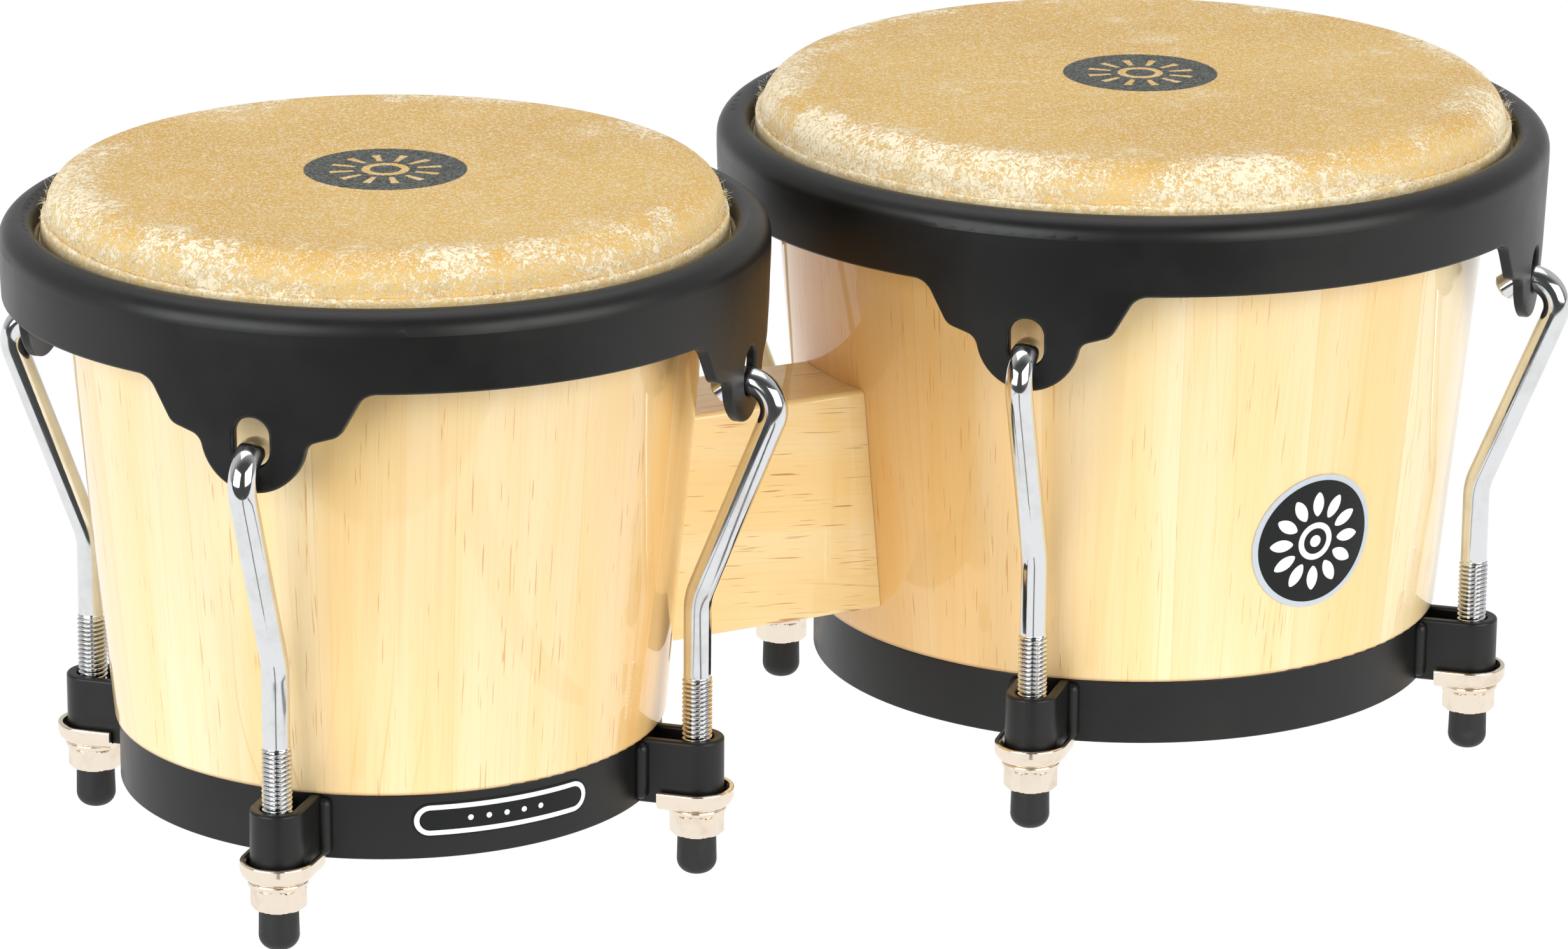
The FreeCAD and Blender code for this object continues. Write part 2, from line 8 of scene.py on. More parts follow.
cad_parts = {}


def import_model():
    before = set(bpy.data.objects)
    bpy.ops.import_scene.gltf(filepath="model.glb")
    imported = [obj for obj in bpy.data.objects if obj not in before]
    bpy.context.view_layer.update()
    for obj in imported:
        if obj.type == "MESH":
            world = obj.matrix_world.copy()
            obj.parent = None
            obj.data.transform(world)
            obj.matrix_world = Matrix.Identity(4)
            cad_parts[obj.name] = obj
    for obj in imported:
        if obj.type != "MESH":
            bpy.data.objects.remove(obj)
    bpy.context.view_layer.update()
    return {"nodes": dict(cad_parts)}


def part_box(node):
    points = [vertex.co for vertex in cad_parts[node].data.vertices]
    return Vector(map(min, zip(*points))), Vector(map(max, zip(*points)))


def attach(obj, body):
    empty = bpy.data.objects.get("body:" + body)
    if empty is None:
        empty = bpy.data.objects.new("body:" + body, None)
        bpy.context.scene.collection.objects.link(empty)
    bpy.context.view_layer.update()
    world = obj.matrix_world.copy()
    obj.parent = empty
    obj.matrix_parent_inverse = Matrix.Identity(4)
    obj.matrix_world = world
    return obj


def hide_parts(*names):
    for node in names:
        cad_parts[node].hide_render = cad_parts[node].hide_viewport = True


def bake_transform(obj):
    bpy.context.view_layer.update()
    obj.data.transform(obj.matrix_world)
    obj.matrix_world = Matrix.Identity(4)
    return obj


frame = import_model()

# ---- driving sizes, in metres, in the row frame ------------------------------------------
MM = 0.001
SKIN = 2.2 * MM
TAPER = {"macho": 0.0925, "hembra": 0.0937}
EDGE_R = {"macho": 7.0 * MM, "hembra": 8.6 * MM}
HOOK_CIRCLE = {"macho": 85.8 * MM, "hembra": 100.5 * MM}
CORNERS = {"front_left": 225, "front_right": 315, "back_right": 45, "back_left": 135}
STAVES = {"macho": 14, "hembra": 16}
GAP = 0.05 * MM
WOOD_FOOT = 38.35 * MM
# direction round each shell's axis, in radians, where its staves are painted most orange: painted shade and
# warm bounce light on the side that faces the other drum and the block
BOUNCE_SHADE_TURN = {"macho": math.radians(335), "hembra": math.radians(188)}


class Drum:
    """Where one drum's surfaces are, read from the frame."""

    def __init__(self, name):
        self.name = name
        self.taper = TAPER[name]
        self.edge_r = EDGE_R[name]
        self.hook_r = HOOK_CIRCLE[name]
        low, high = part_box(name + "_tension_rim")
        self.x = (low.x + high.x) / 2
        self.rim_r = (high.x - low.x) / 2
        low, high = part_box(name + "_shell")
        self.shell_top = high.z
        self.shell_r = (high.y - low.y) / 2 + self.edge_set_back()
        low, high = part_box(name + "_head_skin")
        self.head_top = high.z
        self.tuck_low = low.z
        low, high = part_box(name + "_bottom_ring")
        self.ring_r = (high.x - low.x) / 2

    def edge_set_back(self):
        """How far the rounded bearing edge keeps the shell inside its sharp top corner."""
        lean = math.atan(self.taper)
        reach = self.edge_r / math.tan(math.pi / 4 - lean / 2)
        return reach * math.sin(lean) - self.edge_r * (1 - math.cos(lean))

    def wood_r(self, z):
        """Outer radius of the wooden shell at height z."""
        return self.shell_r - self.taper * (self.shell_top - z)

    def point(self, angle, radius, z):
        return Vector((self.x + radius * math.cos(angle), radius * math.sin(angle), z))


MACHO = Drum("macho")
HEMBRA = Drum("hembra")
DRUMS = (MACHO, HEMBRA)


# ---- small mesh helpers ------------------------------------------------------------------
def make_piece(name, verts, faces, material, smooth=True):
    """A mesh object in the row frame with one material."""
    mesh = bpy.data.meshes.new(name)
    mesh.from_pydata([tuple(v) for v in verts], [], faces)
    mesh.validate()
    mesh.materials.append(material)
    piece = bpy.data.objects.new(name, mesh)
    bpy.context.scene.collection.objects.link(piece)
    if smooth:
        mesh.shade_smooth()
    clean = bmesh.new()
    clean.from_mesh(mesh)
    bmesh.ops.recalc_face_normals(clean, faces=clean.faces)
    clean.to_mesh(mesh)
    clean.free()
    return piece


def grid_faces(rows, columns, closed_rows):
    """Quads of a grid whose columns run round in a ring, and whose rows may close as well."""
    faces = []
    for i in range(rows if closed_rows else rows - 1):
        for j in range(columns):
            a = i * columns + j
            b = i * columns + (j + 1) % columns
            c = ((i + 1) % rows) * columns + (j + 1) % columns
            d = ((i + 1) % rows) * columns + j
            faces.append((a, b, c, d))
    return faces


def close_ring(verts, faces, start, columns, point):
    """Adds a point and the triangles that close the ring beginning at vertex number start."""
    verts.append(point)
    tip = len(verts) - 1
    for j in range(columns):
        faces.append((start + j, start + (j + 1) % columns, tip))


def capped_rings(rings):
    """Vertices and faces of a solid made of equal rings, closed with a point at either end."""
    columns = len(rings[0])
    verts = [p for ring in rings for p in ring]
    faces = grid_faces(len(rings), columns, False)
    for ring, start in ((rings[0], 0), (rings[-1], (len(rings) - 1) * columns)):
        centre = sum((Vector(p) for p in ring), Vector()) / columns
        close_ring(verts, faces, start, columns, centre)
    return verts, faces


def arc(centre, radius, start, end, count):
    """Points (r, z) on an arc, angles in degrees."""
    points = []
    for i in range(count + 1):
        turn = math.radians(start + (end - start) * i / count)
        points.append((centre[0] + radius * math.cos(turn), centre[1] + radius * math.sin(turn)))
    return points


def segment(a, b, count):
    """Points from a towards b, without b itself."""
    return [tuple(a[k] + (b[k] - a[k]) * i / count for k in range(2)) for i in range(count)]


def gather(parts):
    """Several vertex and face lists as one."""
    verts, faces = [], []
    for more_verts, more_faces in parts:
        faces += [tuple(k + len(verts) for k in face) for face in more_faces]
        verts += more_verts
    return verts, faces


def sharpen(piece, degrees):
    """Keeps edges steeper than this crisp while the rest shades smoothly."""
    piece.data.set_sharp_from_angle(angle=math.radians(degrees))


# ---- shader helpers ----------------------------------------------------------------------
class Look:
    """A node material: short calls that add one node each and give back its output."""

    def __init__(self, name):
        self.material = bpy.data.materials.new(name)
        self.material.use_nodes = True
        self.tree = self.material.node_tree
        self.tree.nodes.clear()
        out = self.tree.nodes.new("ShaderNodeOutputMaterial")
        self.shader = self.tree.nodes.new("ShaderNodeBsdfPrincipled")
        self.tree.links.new(self.shader.outputs[0], out.inputs["Surface"])
        self.place = self.tree.nodes.new("ShaderNodeTexCoord").outputs["Object"]

    def feed(self, socket, value):
        if isinstance(value, bpy.types.NodeSocket):
            self.tree.links.new(value, socket)
        elif socket.type == "RGBA" and len(value) == 3:
            socket.default_value = (*value, 1.0)
        else:
            socket.default_value = value

    def set(self, **values):
        for name, value in values.items():
            self.feed(self.shader.inputs[name.replace("_", " ").title().replace("Ior", "IOR")], value)

    def math(self, operation, *values, clamp=False):
        made = self.tree.nodes.new("ShaderNodeMath")
        made.operation = operation
        made.use_clamp = clamp
        for socket, value in zip(made.inputs, values):
            self.feed(socket, value)
        return made.outputs[0]

    def length(self, a, b):
        """Length of the level vector (a, b)."""
        return self.math("SQRT", self.math("ADD", self.math("MULTIPLY", a, a), self.math("MULTIPLY", b, b)))

    def split(self, vector):
        made = self.tree.nodes.new("ShaderNodeSeparateXYZ")
        self.feed(made.inputs[0], vector)
        return made.outputs[:]

    def join(self, x, y, z):
        made = self.tree.nodes.new("ShaderNodeCombineXYZ")
        for socket, value in zip(made.inputs, (x, y, z)):
            self.feed(socket, value)
        return made.outputs[0]

    def noise(self, vector, scale=1.0, detail=2.0, roughness=0.5, distortion=0.0):
        made = self.tree.nodes.new("ShaderNodeTexNoise")
        self.feed(made.inputs["Vector"], vector)
        self.feed(made.inputs["Scale"], scale)
        self.feed(made.inputs["Detail"], detail)
        self.feed(made.inputs["Roughness"], roughness)
        self.feed(made.inputs["Distortion"], distortion)
        return made.outputs[0]

    def random(self, value):
        """Three random numbers, as a colour, that change only where the value does."""
        made = self.tree.nodes.new("ShaderNodeTexWhiteNoise")
        made.noise_dimensions = "1D"
        self.feed(made.inputs["W"], value)
        return made.outputs["Color"]

    def ramp(self, value, low, high, to_low=0.0, to_high=1.0):
        """The value's stretch low to high, eased, as to_low to to_high."""
        made = self.tree.nodes.new("ShaderNodeMapRange")
        made.interpolation_type = "SMOOTHSTEP"
        for name, number in zip(("Value", "From Min", "From Max", "To Min", "To Max"),
                                (value, low, high, to_low, to_high)):
            self.feed(made.inputs[name], number)
        return made.outputs[0]

    def mix(self, factor, a, b, blend="MIX"):
        made = self.tree.nodes.new("ShaderNodeMix")
        made.data_type = "RGBA"
        made.blend_type = blend
        self.feed(made.inputs[0], factor)
        self.feed(made.inputs[6], a)
        self.feed(made.inputs[7], b)
        return made.outputs[2]

    def bump(self, height, distance, strength=1.0, normal=None):
        made = self.tree.nodes.new("ShaderNodeBump")
        self.feed(made.inputs["Height"], height)
        self.feed(made.inputs["Distance"], distance)
        self.feed(made.inputs["Strength"], strength)
        if normal is not None:
            self.feed(made.inputs["Normal"], normal)
        return made.outputs[0]


# ---- wood --------------------------------------------------------------------------------
# colours of one timber: pale and honey early wood, deep late wood, pores
SHELL_TIMBER = ((0.96, 0.80, 0.51), (0.95, 0.715, 0.35), (0.86, 0.51, 0.16), (0.66, 0.28, 0.06))
BLOCK_TIMBER = ((0.99, 0.77, 0.40), (0.98, 0.69, 0.28), (0.84, 0.45, 0.12), (0.50, 0.17, 0.03))
DARK_STAVE = (0.98, 0.88, 0.74)
# tint of the painted shade and warm bounce light, multiplied into the staves that face the other drum and
# the block
BOUNCE_SHADE_TINT = (0.96, 0.74, 0.44)
GLUE_LINE = (0.62, 0.34, 0.10)
# painted shade: dark brown along the foot of the wood, where it meets the bottom ring
FOOT_SHADE = (0.30, 0.12, 0.02)
SPECK = (0.50, 0.19, 0.04)
# how high that painted shade reaches above the wood's foot
FOOT_SHADE_HIGH = 1.3 * MM
STAVE_SLANT = 0.07
MID_HEIGHT = 0.1
PORE_RELIEF = 0.05 * MM


def grain(look, across, along, seed, colours):
    """Colour and relief of lacquered wood, from two lengths in metres and a seed."""
    pale, honey, deep, pore_colour = colours

    def streaks(per_metre_across, per_metre_along, detail=2.0, twist=0.0):
        place = look.join(look.math("MULTIPLY", across, per_metre_across), seed,
                          look.math("MULTIPLY", along, per_metre_along))
        return look.noise(place, 1.0, detail, 0.55, twist)

    colour = look.mix(look.ramp(streaks(48, 3, 2), 0.34, 0.66), honey, pale)
    colour = look.mix(look.ramp(streaks(170, 6, 3), 0.47, 0.72, 0.0, 0.4), colour, honey)
    colour = look.mix(look.ramp(streaks(420, 9, 2), 0.54, 0.76, 0.0, 0.2), colour, deep)
    fibre = streaks(1500, 30, 2)
    colour = look.mix(look.ramp(fibre, 0.45, 0.75, 0.0, 0.16), colour, deep)
    # growth lines: thin and wandering, in a few places only
    wander = look.math("MULTIPLY", streaks(15, 5, 1, 0.3), 7.0)
    phase = look.math("ADD", look.math("MULTIPLY", across, 150.0), wander)
    line = look.ramp(look.math("PINGPONG", phase, 0.5), 0.44, 0.5)
    line = look.math("MULTIPLY", line, look.ramp(streaks(30, 8, 2), 0.52, 0.7))
    colour = look.mix(look.math("MULTIPLY", line, 0.5), colour, deep)
    # pores: thin dashes, thick in some bands and rare in others
    dense = look.ramp(streaks(46, 8, 2), 0.42, 0.68, 0.0, 0.09)
    pore = look.ramp(look.math("ADD", streaks(1600, 62, 1), dense), 0.715, 0.79)
    colour = look.mix(look.math("MULTIPLY", pore, 0.6), colour, pore_colour)
    return colour, pore, fibre


def lacquer(look, colour, pore, fibre):
    """Clear gloss coat over wood, a little wavy, with the pores just showing through."""
    wave = look.noise(look.place, 140.0, 2.0)
    relief = look.math("SUBTRACT", look.math("MULTIPLY", fibre, 0.2), pore)
    look.set(base_color=colour, roughness=0.45, specular_ior_level=0.3, coat_weight=1.0,
             coat_roughness=0.03, coat_ior=1.5, normal=look.bump(relief, PORE_RELIEF, 0.5))
    look.feed(look.shader.inputs["Coat Normal"], look.bump(wave, PORE_RELIEF, 0.4))


def shell_wood(drum, seed):
    """Upright staves glued side by side, each with a tone and a grain of its own."""
    look = Look(drum.name + "_shell_wood")
    x, y, z = look.split(look.place)
    turn = look.math("ARCTAN2", y, look.math("SUBTRACT", x, drum.x))
    stave = look.math("MULTIPLY", turn, STAVES[drum.name] / math.tau)
    index = look.math("FLOOR", stave)
    tone, offset, slant = look.split(look.random(look.math("ADD", index, seed)))
    across = look.math("MULTIPLY", turn, drum.wood_r(MID_HEIGHT))
    lean = look.math("MULTIPLY", look.math("SUBTRACT", slant, 0.5), STAVE_SLANT)
    across = look.math("ADD", across, look.math("MULTIPLY", z, lean))
    colour, pore, fibre = grain(look, across, z, look.math("MULTIPLY", offset, 40.0), SHELL_TIMBER)
    colour = look.mix(look.ramp(tone, 0.2, 0.9, 0.0, 0.7), colour, DARK_STAVE, "MULTIPLY")
    # painted shade and warm bounce light: the staves turn more orange towards the other drum and the block
    facing = look.math("COSINE", look.math("SUBTRACT", turn, BOUNCE_SHADE_TURN[drum.name]))
    colour = look.mix(look.ramp(facing, 0.55, 0.98, 0.0, 0.7), colour, BOUNCE_SHADE_TINT, "MULTIPLY")
    seam = look.math("ABSOLUTE", look.math("SUBTRACT", look.math("FRACT", stave), 0.5))
    colour = look.mix(look.ramp(seam, 0.4955, 0.4995, 0.0, 0.3), colour, GLUE_LINE)
    # painted shade: a dark brown line along the wood's foot, where it meets the bottom ring
    foot = look.ramp(z, WOOD_FOOT, WOOD_FOOT + FOOT_SHADE_HIGH, 0.75, 0.0)
    colour = look.mix(foot, colour, FOOT_SHADE)
    lacquer(look, colour, pore, fibre)
    return look.material


def block_wood():
    """Honey-coloured block with its grain along X."""
    look = Look("block_wood")
    x, y, z = look.split(look.place)
    depth = look.math("ADD", look.math("MULTIPLY", y, 0.8), z)
    slope = look.math("ADD", depth, look.math("MULTIPLY", x, 0.10))
    colour, pore, fibre = grain(look, slope, x, look.math("MULTIPLY", y, 60.0), BLOCK_TIMBER)
    dash = look.join(look.math("MULTIPLY", slope, 1500.0), y, look.math("MULTIPLY", x, 52.0))
    speck = look.ramp(look.noise(dash, 1.0, 1.0, 0.5, 0.3), 0.66, 0.74)
    colour = look.mix(look.math("MULTIPLY", speck, 0.8), colour, SPECK)
    lacquer(look, colour, look.math("MAXIMUM", pore, speck), fibre)
    return look.material


# ---- hide --------------------------------------------------------------------------------
HIDE_TAN = (0.70, 0.40, 0.076)
HIDE_LIGHT_TAN = (0.765, 0.46, 0.10)
HIDE_PATCH = (0.82, 0.56, 0.20)
HIDE_COLLAR = (0.90, 0.61, 0.215)
HIDE_BAND = (0.90, 0.66, 0.29)
HIDE_HAIR = (0.97, 0.87, 0.66)
INK = (0.03, 0.033, 0.031)
INK_WORN = (0.24, 0.25, 0.225)
# the clear yellow band of the raw edge ends between these heights
BAND_LOW = 174.2 * MM
BAND_HIGH = 175.0 * MM
STAMP_R = 21.4 * MM
STAMP_SHIFT = {"macho": (0.0, 0.0), "hembra": (3.1 * MM, 1.5 * MM)}
STAMP_RAYS = 12
STAMP_RING_R = 5.2 * MM
STAMP_RAY_R = 11.6 * MM


def stamp_motif(look, across, depth):
    """A plain generic mark: a ring with twelve short rays, 1 where the hide shows through."""
    radius = look.length(across, depth)
    turn = look.math("ARCTAN2", depth, across)
    ring = look.math("ABSOLUTE", look.math("SUBTRACT", radius, STAMP_RING_R))
    ring = look.ramp(ring, 0.9 * MM, 1.3 * MM, 1.0, 0.0)
    spoke = look.math("PINGPONG", look.math("MULTIPLY", turn, STAMP_RAYS / math.tau), 0.5)
    spoke = look.ramp(spoke, 0.33, 0.38, 0.0, 1.0)
    middle = look.math("ABSOLUTE", look.math("SUBTRACT", radius, STAMP_RAY_R))
    spoke = look.math("MULTIPLY", spoke, look.ramp(middle, 2.9 * MM, 3.4 * MM, 1.0, 0.0))
    return look.math("MAXIMUM", ring, spoke)


def hair(look, scale, width, keep):
    """Thin curling lines broken into short lengths; keep is the threshold of what is left out."""
    curl = look.noise(look.place, scale, 2.0, 0.55, 2.2)
    ridge = look.ramp(look.math("ABSOLUTE", look.math("SUBTRACT", curl, 0.5)), width * 0.3, width, 1.0, 0.0)
    broken = look.ramp(look.noise(look.place, scale * 1.9, 1.0), keep, keep + 0.07)
    return look.math("MULTIPLY", ridge, broken)


def hide(drum):
    """Raw hide: honey tan with short pale hairs on top, white and woolly at the corner and collar."""
    look = Look(drum.name + "_hide")
    x, y, z = look.split(look.place)
    across = look.math("SUBTRACT", x, drum.x)
    radius = look.length(across, y)
    cloud = look.noise(look.place, 15.0, 3.0, 0.6)
    patch = look.noise(look.place, 48.0, 4.0, 0.65)
    colour = look.mix(look.ramp(cloud, 0.34, 0.66), HIDE_TAN, HIDE_LIGHT_TAN)
    colour = look.mix(look.ramp(patch, 0.45, 0.75, 0.0, 0.35), colour, HIDE_PATCH)
    collar = look.ramp(z, drum.head_top - 1.0 * MM, drum.head_top - 6.5 * MM)
    colour = look.mix(look.math("MULTIPLY", collar, 0.9), colour, HIDE_COLLAR)
    # how woolly the hide is: a little everywhere, more in patches, most round the corner
    corner = look.ramp(radius, drum.shell_r - 22 * MM, drum.shell_r - 3 * MM)
    bare = look.ramp(look.noise(look.place, 26.0, 3.0, 0.6), 0.40, 0.58, 0.05, 0.85)
    wool = look.math("MULTIPLY", corner, bare)
    wool = look.math("ADD", wool, look.ramp(patch, 0.5, 0.75, 0.0, 0.5), clamp=True)
    raw_edge = look.ramp(radius, drum.shell_r + 1.6 * MM, drum.shell_r + 2.4 * MM)
    wool = look.math("MAXIMUM", wool, look.math("MULTIPLY", raw_edge, 0.6))
    short = look.math("MAXIMUM", hair(look, 430.0, 0.045, 0.47), hair(look, 760.0, 0.06, 0.45))
    tuft = look.noise(look.place, 560.0, 4.0, 0.75, 1.4)
    tuft = look.ramp(look.math("ADD", tuft, look.math("MULTIPLY", wool, 0.17)), 0.56, 0.66)
    tuft = look.math("MULTIPLY", tuft, look.ramp(wool, 0.0, 0.5, 0.2, 1.0))
    fibres = look.math("MAXIMUM", look.math("MULTIPLY", short, 0.95), tuft)
    colour = look.mix(look.math("MULTIPLY", fibres, 0.9), colour, HIDE_HAIR)
    # the raw edge is paler still, over a clear yellow band
    band = look.ramp(z, BAND_LOW, BAND_HIGH)
    below = look.math("MULTIPLY", raw_edge, look.math("SUBTRACT", 1.0, band))
    colour = look.mix(look.math("MULTIPLY", below, 0.35), colour, HIDE_BAND)
    # stamp near the middle of the head, its ink broken by the hide's hairs
    fluff = look.noise(look.place, 1300.0, 3.0, 0.7, 0.8)
    ragged = look.math("MULTIPLY", look.math("SUBTRACT", fluff, 0.5), 1.6 * MM)
    aside, back = STAMP_SHIFT[drum.name]
    from_x = look.math("ADD", look.math("SUBTRACT", across, aside), ragged)
    from_y = look.math("ADD", look.math("SUBTRACT", y, back), ragged)
    reach = look.length(from_x, from_y)
    inside = look.ramp(reach, STAMP_R - 0.15 * MM, STAMP_R + 0.15 * MM, 1.0, 0.0)
    inside = look.math("MULTIPLY", inside, look.ramp(z, drum.head_top - 1.5 * MM, drum.head_top - 0.5 * MM))
    ink_on = look.math("MULTIPLY", inside, look.math("SUBTRACT", 1.0, stamp_motif(look, from_x, from_y)))
    ink = look.mix(look.math("MAXIMUM", short, look.ramp(fluff, 0.5, 0.66)), INK, INK_WORN)
    colour = look.mix(ink_on, colour, ink)
    relief = look.math("ADD", fibres, look.math("MULTIPLY", fluff, 0.5))
    look.set(base_color=colour, roughness=look.ramp(fibres, 0.0, 1.0, 0.5, 0.85),
             subsurface_weight=0.1, subsurface_scale=1.0 * MM, specular_ior_level=0.12,
             normal=look.bump(relief, 0.18 * MM, 0.7))
    look.feed(look.shader.inputs["Subsurface Radius"], (1.0, 0.6, 0.25))
    return look.material


def fibre_look():
    look = Look("hide_fibre")
    tone = look.noise(look.place, 300.0, 2.0)
    colour = look.mix(look.ramp(tone, 0.35, 0.65), (0.93, 0.82, 0.58), (0.98, 0.92, 0.76))
    look.set(base_color=colour, roughness=0.7, sheen_weight=0.2)
    return look.material


# ---- metals, rubber, prints --------------------------------------------------------------
def black_steel():
    """Satin black powder coat: a fine peel, a little dust, and faint patches that are lighter and rougher.
    """
    look = Look("black_steel")
    peel = look.noise(look.place, 900.0, 3.0, 0.6)
    haze = look.noise(look.place, 30.0, 3.0, 0.6)
    colour = look.mix(look.ramp(haze, 0.35, 0.65), (0.0045, 0.0043, 0.0042), (0.0075, 0.0071, 0.0068))
    dust = look.ramp(look.noise(look.place, 2600.0, 1.0), 0.76, 0.8, 0.0, 0.08)
    colour = look.mix(dust, colour, (0.3, 0.29, 0.27))
    look.set(base_color=colour, roughness=look.ramp(haze, 0.3, 0.7, 0.36, 0.44), specular_ior_level=0.4,
             normal=look.bump(peel, 0.03 * MM, 0.35))
    return look.material


def chrome(name, light, dull):
    """Bright plating over drawn wire: lengthwise ripples and a faint film."""
    look = Look(name)
    x, y, z = look.split(look.place)
    drawn = look.noise(look.join(look.math("MULTIPLY", x, 700.0), look.math("MULTIPLY", y, 700.0),
                                 look.math("MULTIPLY", z, 30.0)), 1.0, 2.0)
    film = look.noise(look.place, 90.0, 3.0, 0.65)
    colour = look.mix(look.ramp(film, 0.45, 0.7, 0.0, 0.5), light, dull)
    look.set(base_color=colour, metallic=1.0, roughness=look.ramp(film, 0.3, 0.75, 0.06, 0.15),
             normal=look.bump(drawn, 0.04 * MM, 0.3))
    return look.material


def nickel():
    """Warm bright plating of nuts, washers and saddle plates, a little stained."""
    look = Look("nickel")
    tumbled = look.noise(look.place, 300.0, 3.0, 0.6)
    stain = look.noise(look.place, 110.0, 3.0, 0.7)
    colour = look.mix(look.ramp(stain, 0.45, 0.75), (0.89, 0.785, 0.655), (0.78, 0.655, 0.52))
    look.set(base_color=colour, metallic=1.0, roughness=look.ramp(tumbled, 0.3, 0.7, 0.12, 0.22),
             normal=look.bump(tumbled, 0.005 * MM, 0.1))
    return look.material


def plain_steel():
    look = Look("zinc_steel")
    tumbled = look.noise(look.place, 500.0, 3.0, 0.6)
    look.set(base_color=look.mix(tumbled, (0.42, 0.43, 0.45), (0.62, 0.62, 0.60)), metallic=1.0,
             roughness=look.ramp(tumbled, 0.3, 0.7, 0.28, 0.45), normal=look.bump(tumbled, 0.04 * MM, 0.5))
    return look.material


def rubber():
    look = Look("rubber")
    grit = look.noise(look.place, 1100.0, 3.0, 0.7)
    scuff = look.noise(look.place, 130.0, 4.0, 0.65)
    colour = look.mix(look.ramp(scuff, 0.5, 0.75), (0.012, 0.012, 0.012), (0.03, 0.029, 0.027))
    look.set(base_color=colour, roughness=look.ramp(scuff, 0.3, 0.7, 0.45, 0.62),
             specular_ior_level=0.4, normal=look.bump(grit, 0.03 * MM, 0.4))
    return look.material


def print_look(name, dark, light, roughness):
    """Printed film: one tone with the faintest mottling."""
    look = Look(name)
    mottle = look.noise(look.place, 700.0, 3.0, 0.6)
    look.set(base_color=look.mix(mottle, dark, light), specular_ior_level=0.25,
             roughness=look.ramp(mottle, 0.3, 0.7, roughness, roughness + 0.08),
             normal=look.bump(mottle, 0.01 * MM, 0.3))
    return look.material


SHELL_WOOD = {drum.name: shell_wood(drum, seed) for drum, seed in ((MACHO, 11.0), (HEMBRA, 47.0))}
HIDE = {drum.name: hide(drum) for drum in DRUMS}
FIBRE = fibre_look()
BLACK = black_steel()
CHROME = chrome("chrome", (0.77, 0.785, 0.80), (0.65, 0.635, 0.61))
# darker plating for the faces down in the thread's roots
DARK_THREAD_ROOT = chrome("thread_root", (0.44, 0.43, 0.42), (0.30, 0.29, 0.27))
NICKEL = nickel()
STEEL = plain_steel()
RUBBER = rubber()
BLOCK = block_wood()
FILM_BLACK = print_look("film_black", (0.006, 0.0065, 0.007), (0.009, 0.0095, 0.010), 0.3)
FILM_SILVER = print_look("film_silver", (0.52, 0.57, 0.62), (0.60, 0.64, 0.69), 0.32)
FILM_WHITE = print_look("film_white", (0.80, 0.82, 0.83), (0.88, 0.89, 0.90), 0.35)

NODE_LOOKS = (
    ("_shell", None), ("_flesh_hoop", STEEL), ("_tension_rim", BLACK), ("_bottom_ring", BLACK),
    ("_ring_brackets", BLACK), ("_foot_washers", NICKEL), ("_saddle_plate", NICKEL),
    ("_foot_cap", RUBBER), ("center_block", BLOCK), ("block_bolts", STEEL), ("block_nuts", STEEL),
    ("block_washers", STEEL),
)
for node_name, node in frame["nodes"].items():
    for ending, material in NODE_LOOKS:
        if node_name.endswith(ending):
            chosen = material or SHELL_WOOD[node_name.split("_")[0]]
            for slot_index in range(len(node.material_slots)):
                node.material_slots[slot_index].material = chosen


# ---- head skins --------------------------------------------------------------------------
SKIN_COLUMNS = 720
TUCK_SPACE = 5.6 * MM
SLIT = 0.65 * MM
RAW_THICK = 1.7 * MM
RAW_TOP = 175.6 * MM
RAW_UNEVEN = 0.7 * MM
CENTRE_HOLE = 0.3 * MM
COLLAR_FOOT_R = 1.0 * MM
HEM_R = 0.6 * MM
UNDER_R = 1.4 * MM
SLACK = 0.1 * MM


def skin_profile(drum):
    """Closed section (radius, height) of the hide, with where its slit and its tuck's top are."""
    half = TUCK_SPACE / 2
    low = drum.tuck_low + SKIN
    high = low + TUCK_SPACE
    middle = low + half

    def collar(z):
        return drum.wood_r(z) + GAP + SKIN

    out = collar(middle) + TUCK_SPACE
    slit = collar(middle) + SLIT
    top = drum.head_top
    corner_r = drum.edge_r + SKIN
    lean = math.atan(drum.taper)
    lean_degrees = math.degrees(lean)
    corner = (collar(top - corner_r) - corner_r / math.cos(lean), top - corner_r)
    foot = (collar(low + COLLAR_FOOT_R), low + COLLAR_FOOT_R)
    # upper side: top, collar, tuck round the hoop, up to the raw edge
    points = segment((CENTRE_HOLE, top), (corner[0], top), 40)
    points += arc(corner, corner_r, 90, -lean_degrees, 14)
    points += segment(points.pop(), foot, 26)
    points += arc((foot[0] + COLLAR_FOOT_R, low + COLLAR_FOOT_R), COLLAR_FOOT_R, 180, 270, 3)
    points += arc((out - half + SLACK, middle), half - SLACK, 270, 450, 12)
    points += segment((slit, high), (slit + 0.2 * MM, RAW_TOP - 0.4 * MM), 8)
    points += arc((slit + RAW_THICK / 2, RAW_TOP - HEM_R), RAW_THICK / 2, 160, 15, 8)
    # lower side: down the raw edge, round the tuck and back under the head
    outer = out + SKIN
    bend = half + SKIN - SLACK
    hem = high + SKIN + HEM_R
    points += segment(points.pop(), (slit + RAW_THICK + SLACK, hem), 6)
    points += arc((slit + RAW_THICK + SLACK + HEM_R, hem), HEM_R, 180, 270, 3)
    points += arc((outer - bend, high + SKIN - bend), bend, 90, 0, 6)
    points += arc((outer - bend, low - SKIN + bend), bend, 0, -90, 6)
    inner_low = drum.wood_r(low - SKIN) + GAP
    points += arc((inner_low + UNDER_R, low - SKIN + UNDER_R), UNDER_R, 270, 180, 4)
    points += segment(points.pop(), (corner[0] + drum.edge_r * math.cos(lean), corner[1]), 10)
    points += arc(corner, drum.edge_r, -lean_degrees, 90, 8)
    points += segment(points.pop(), (CENTRE_HOLE, top - SKIN), 8)
    points.append((CENTRE_HOLE, top - SKIN))
    return points, slit, high


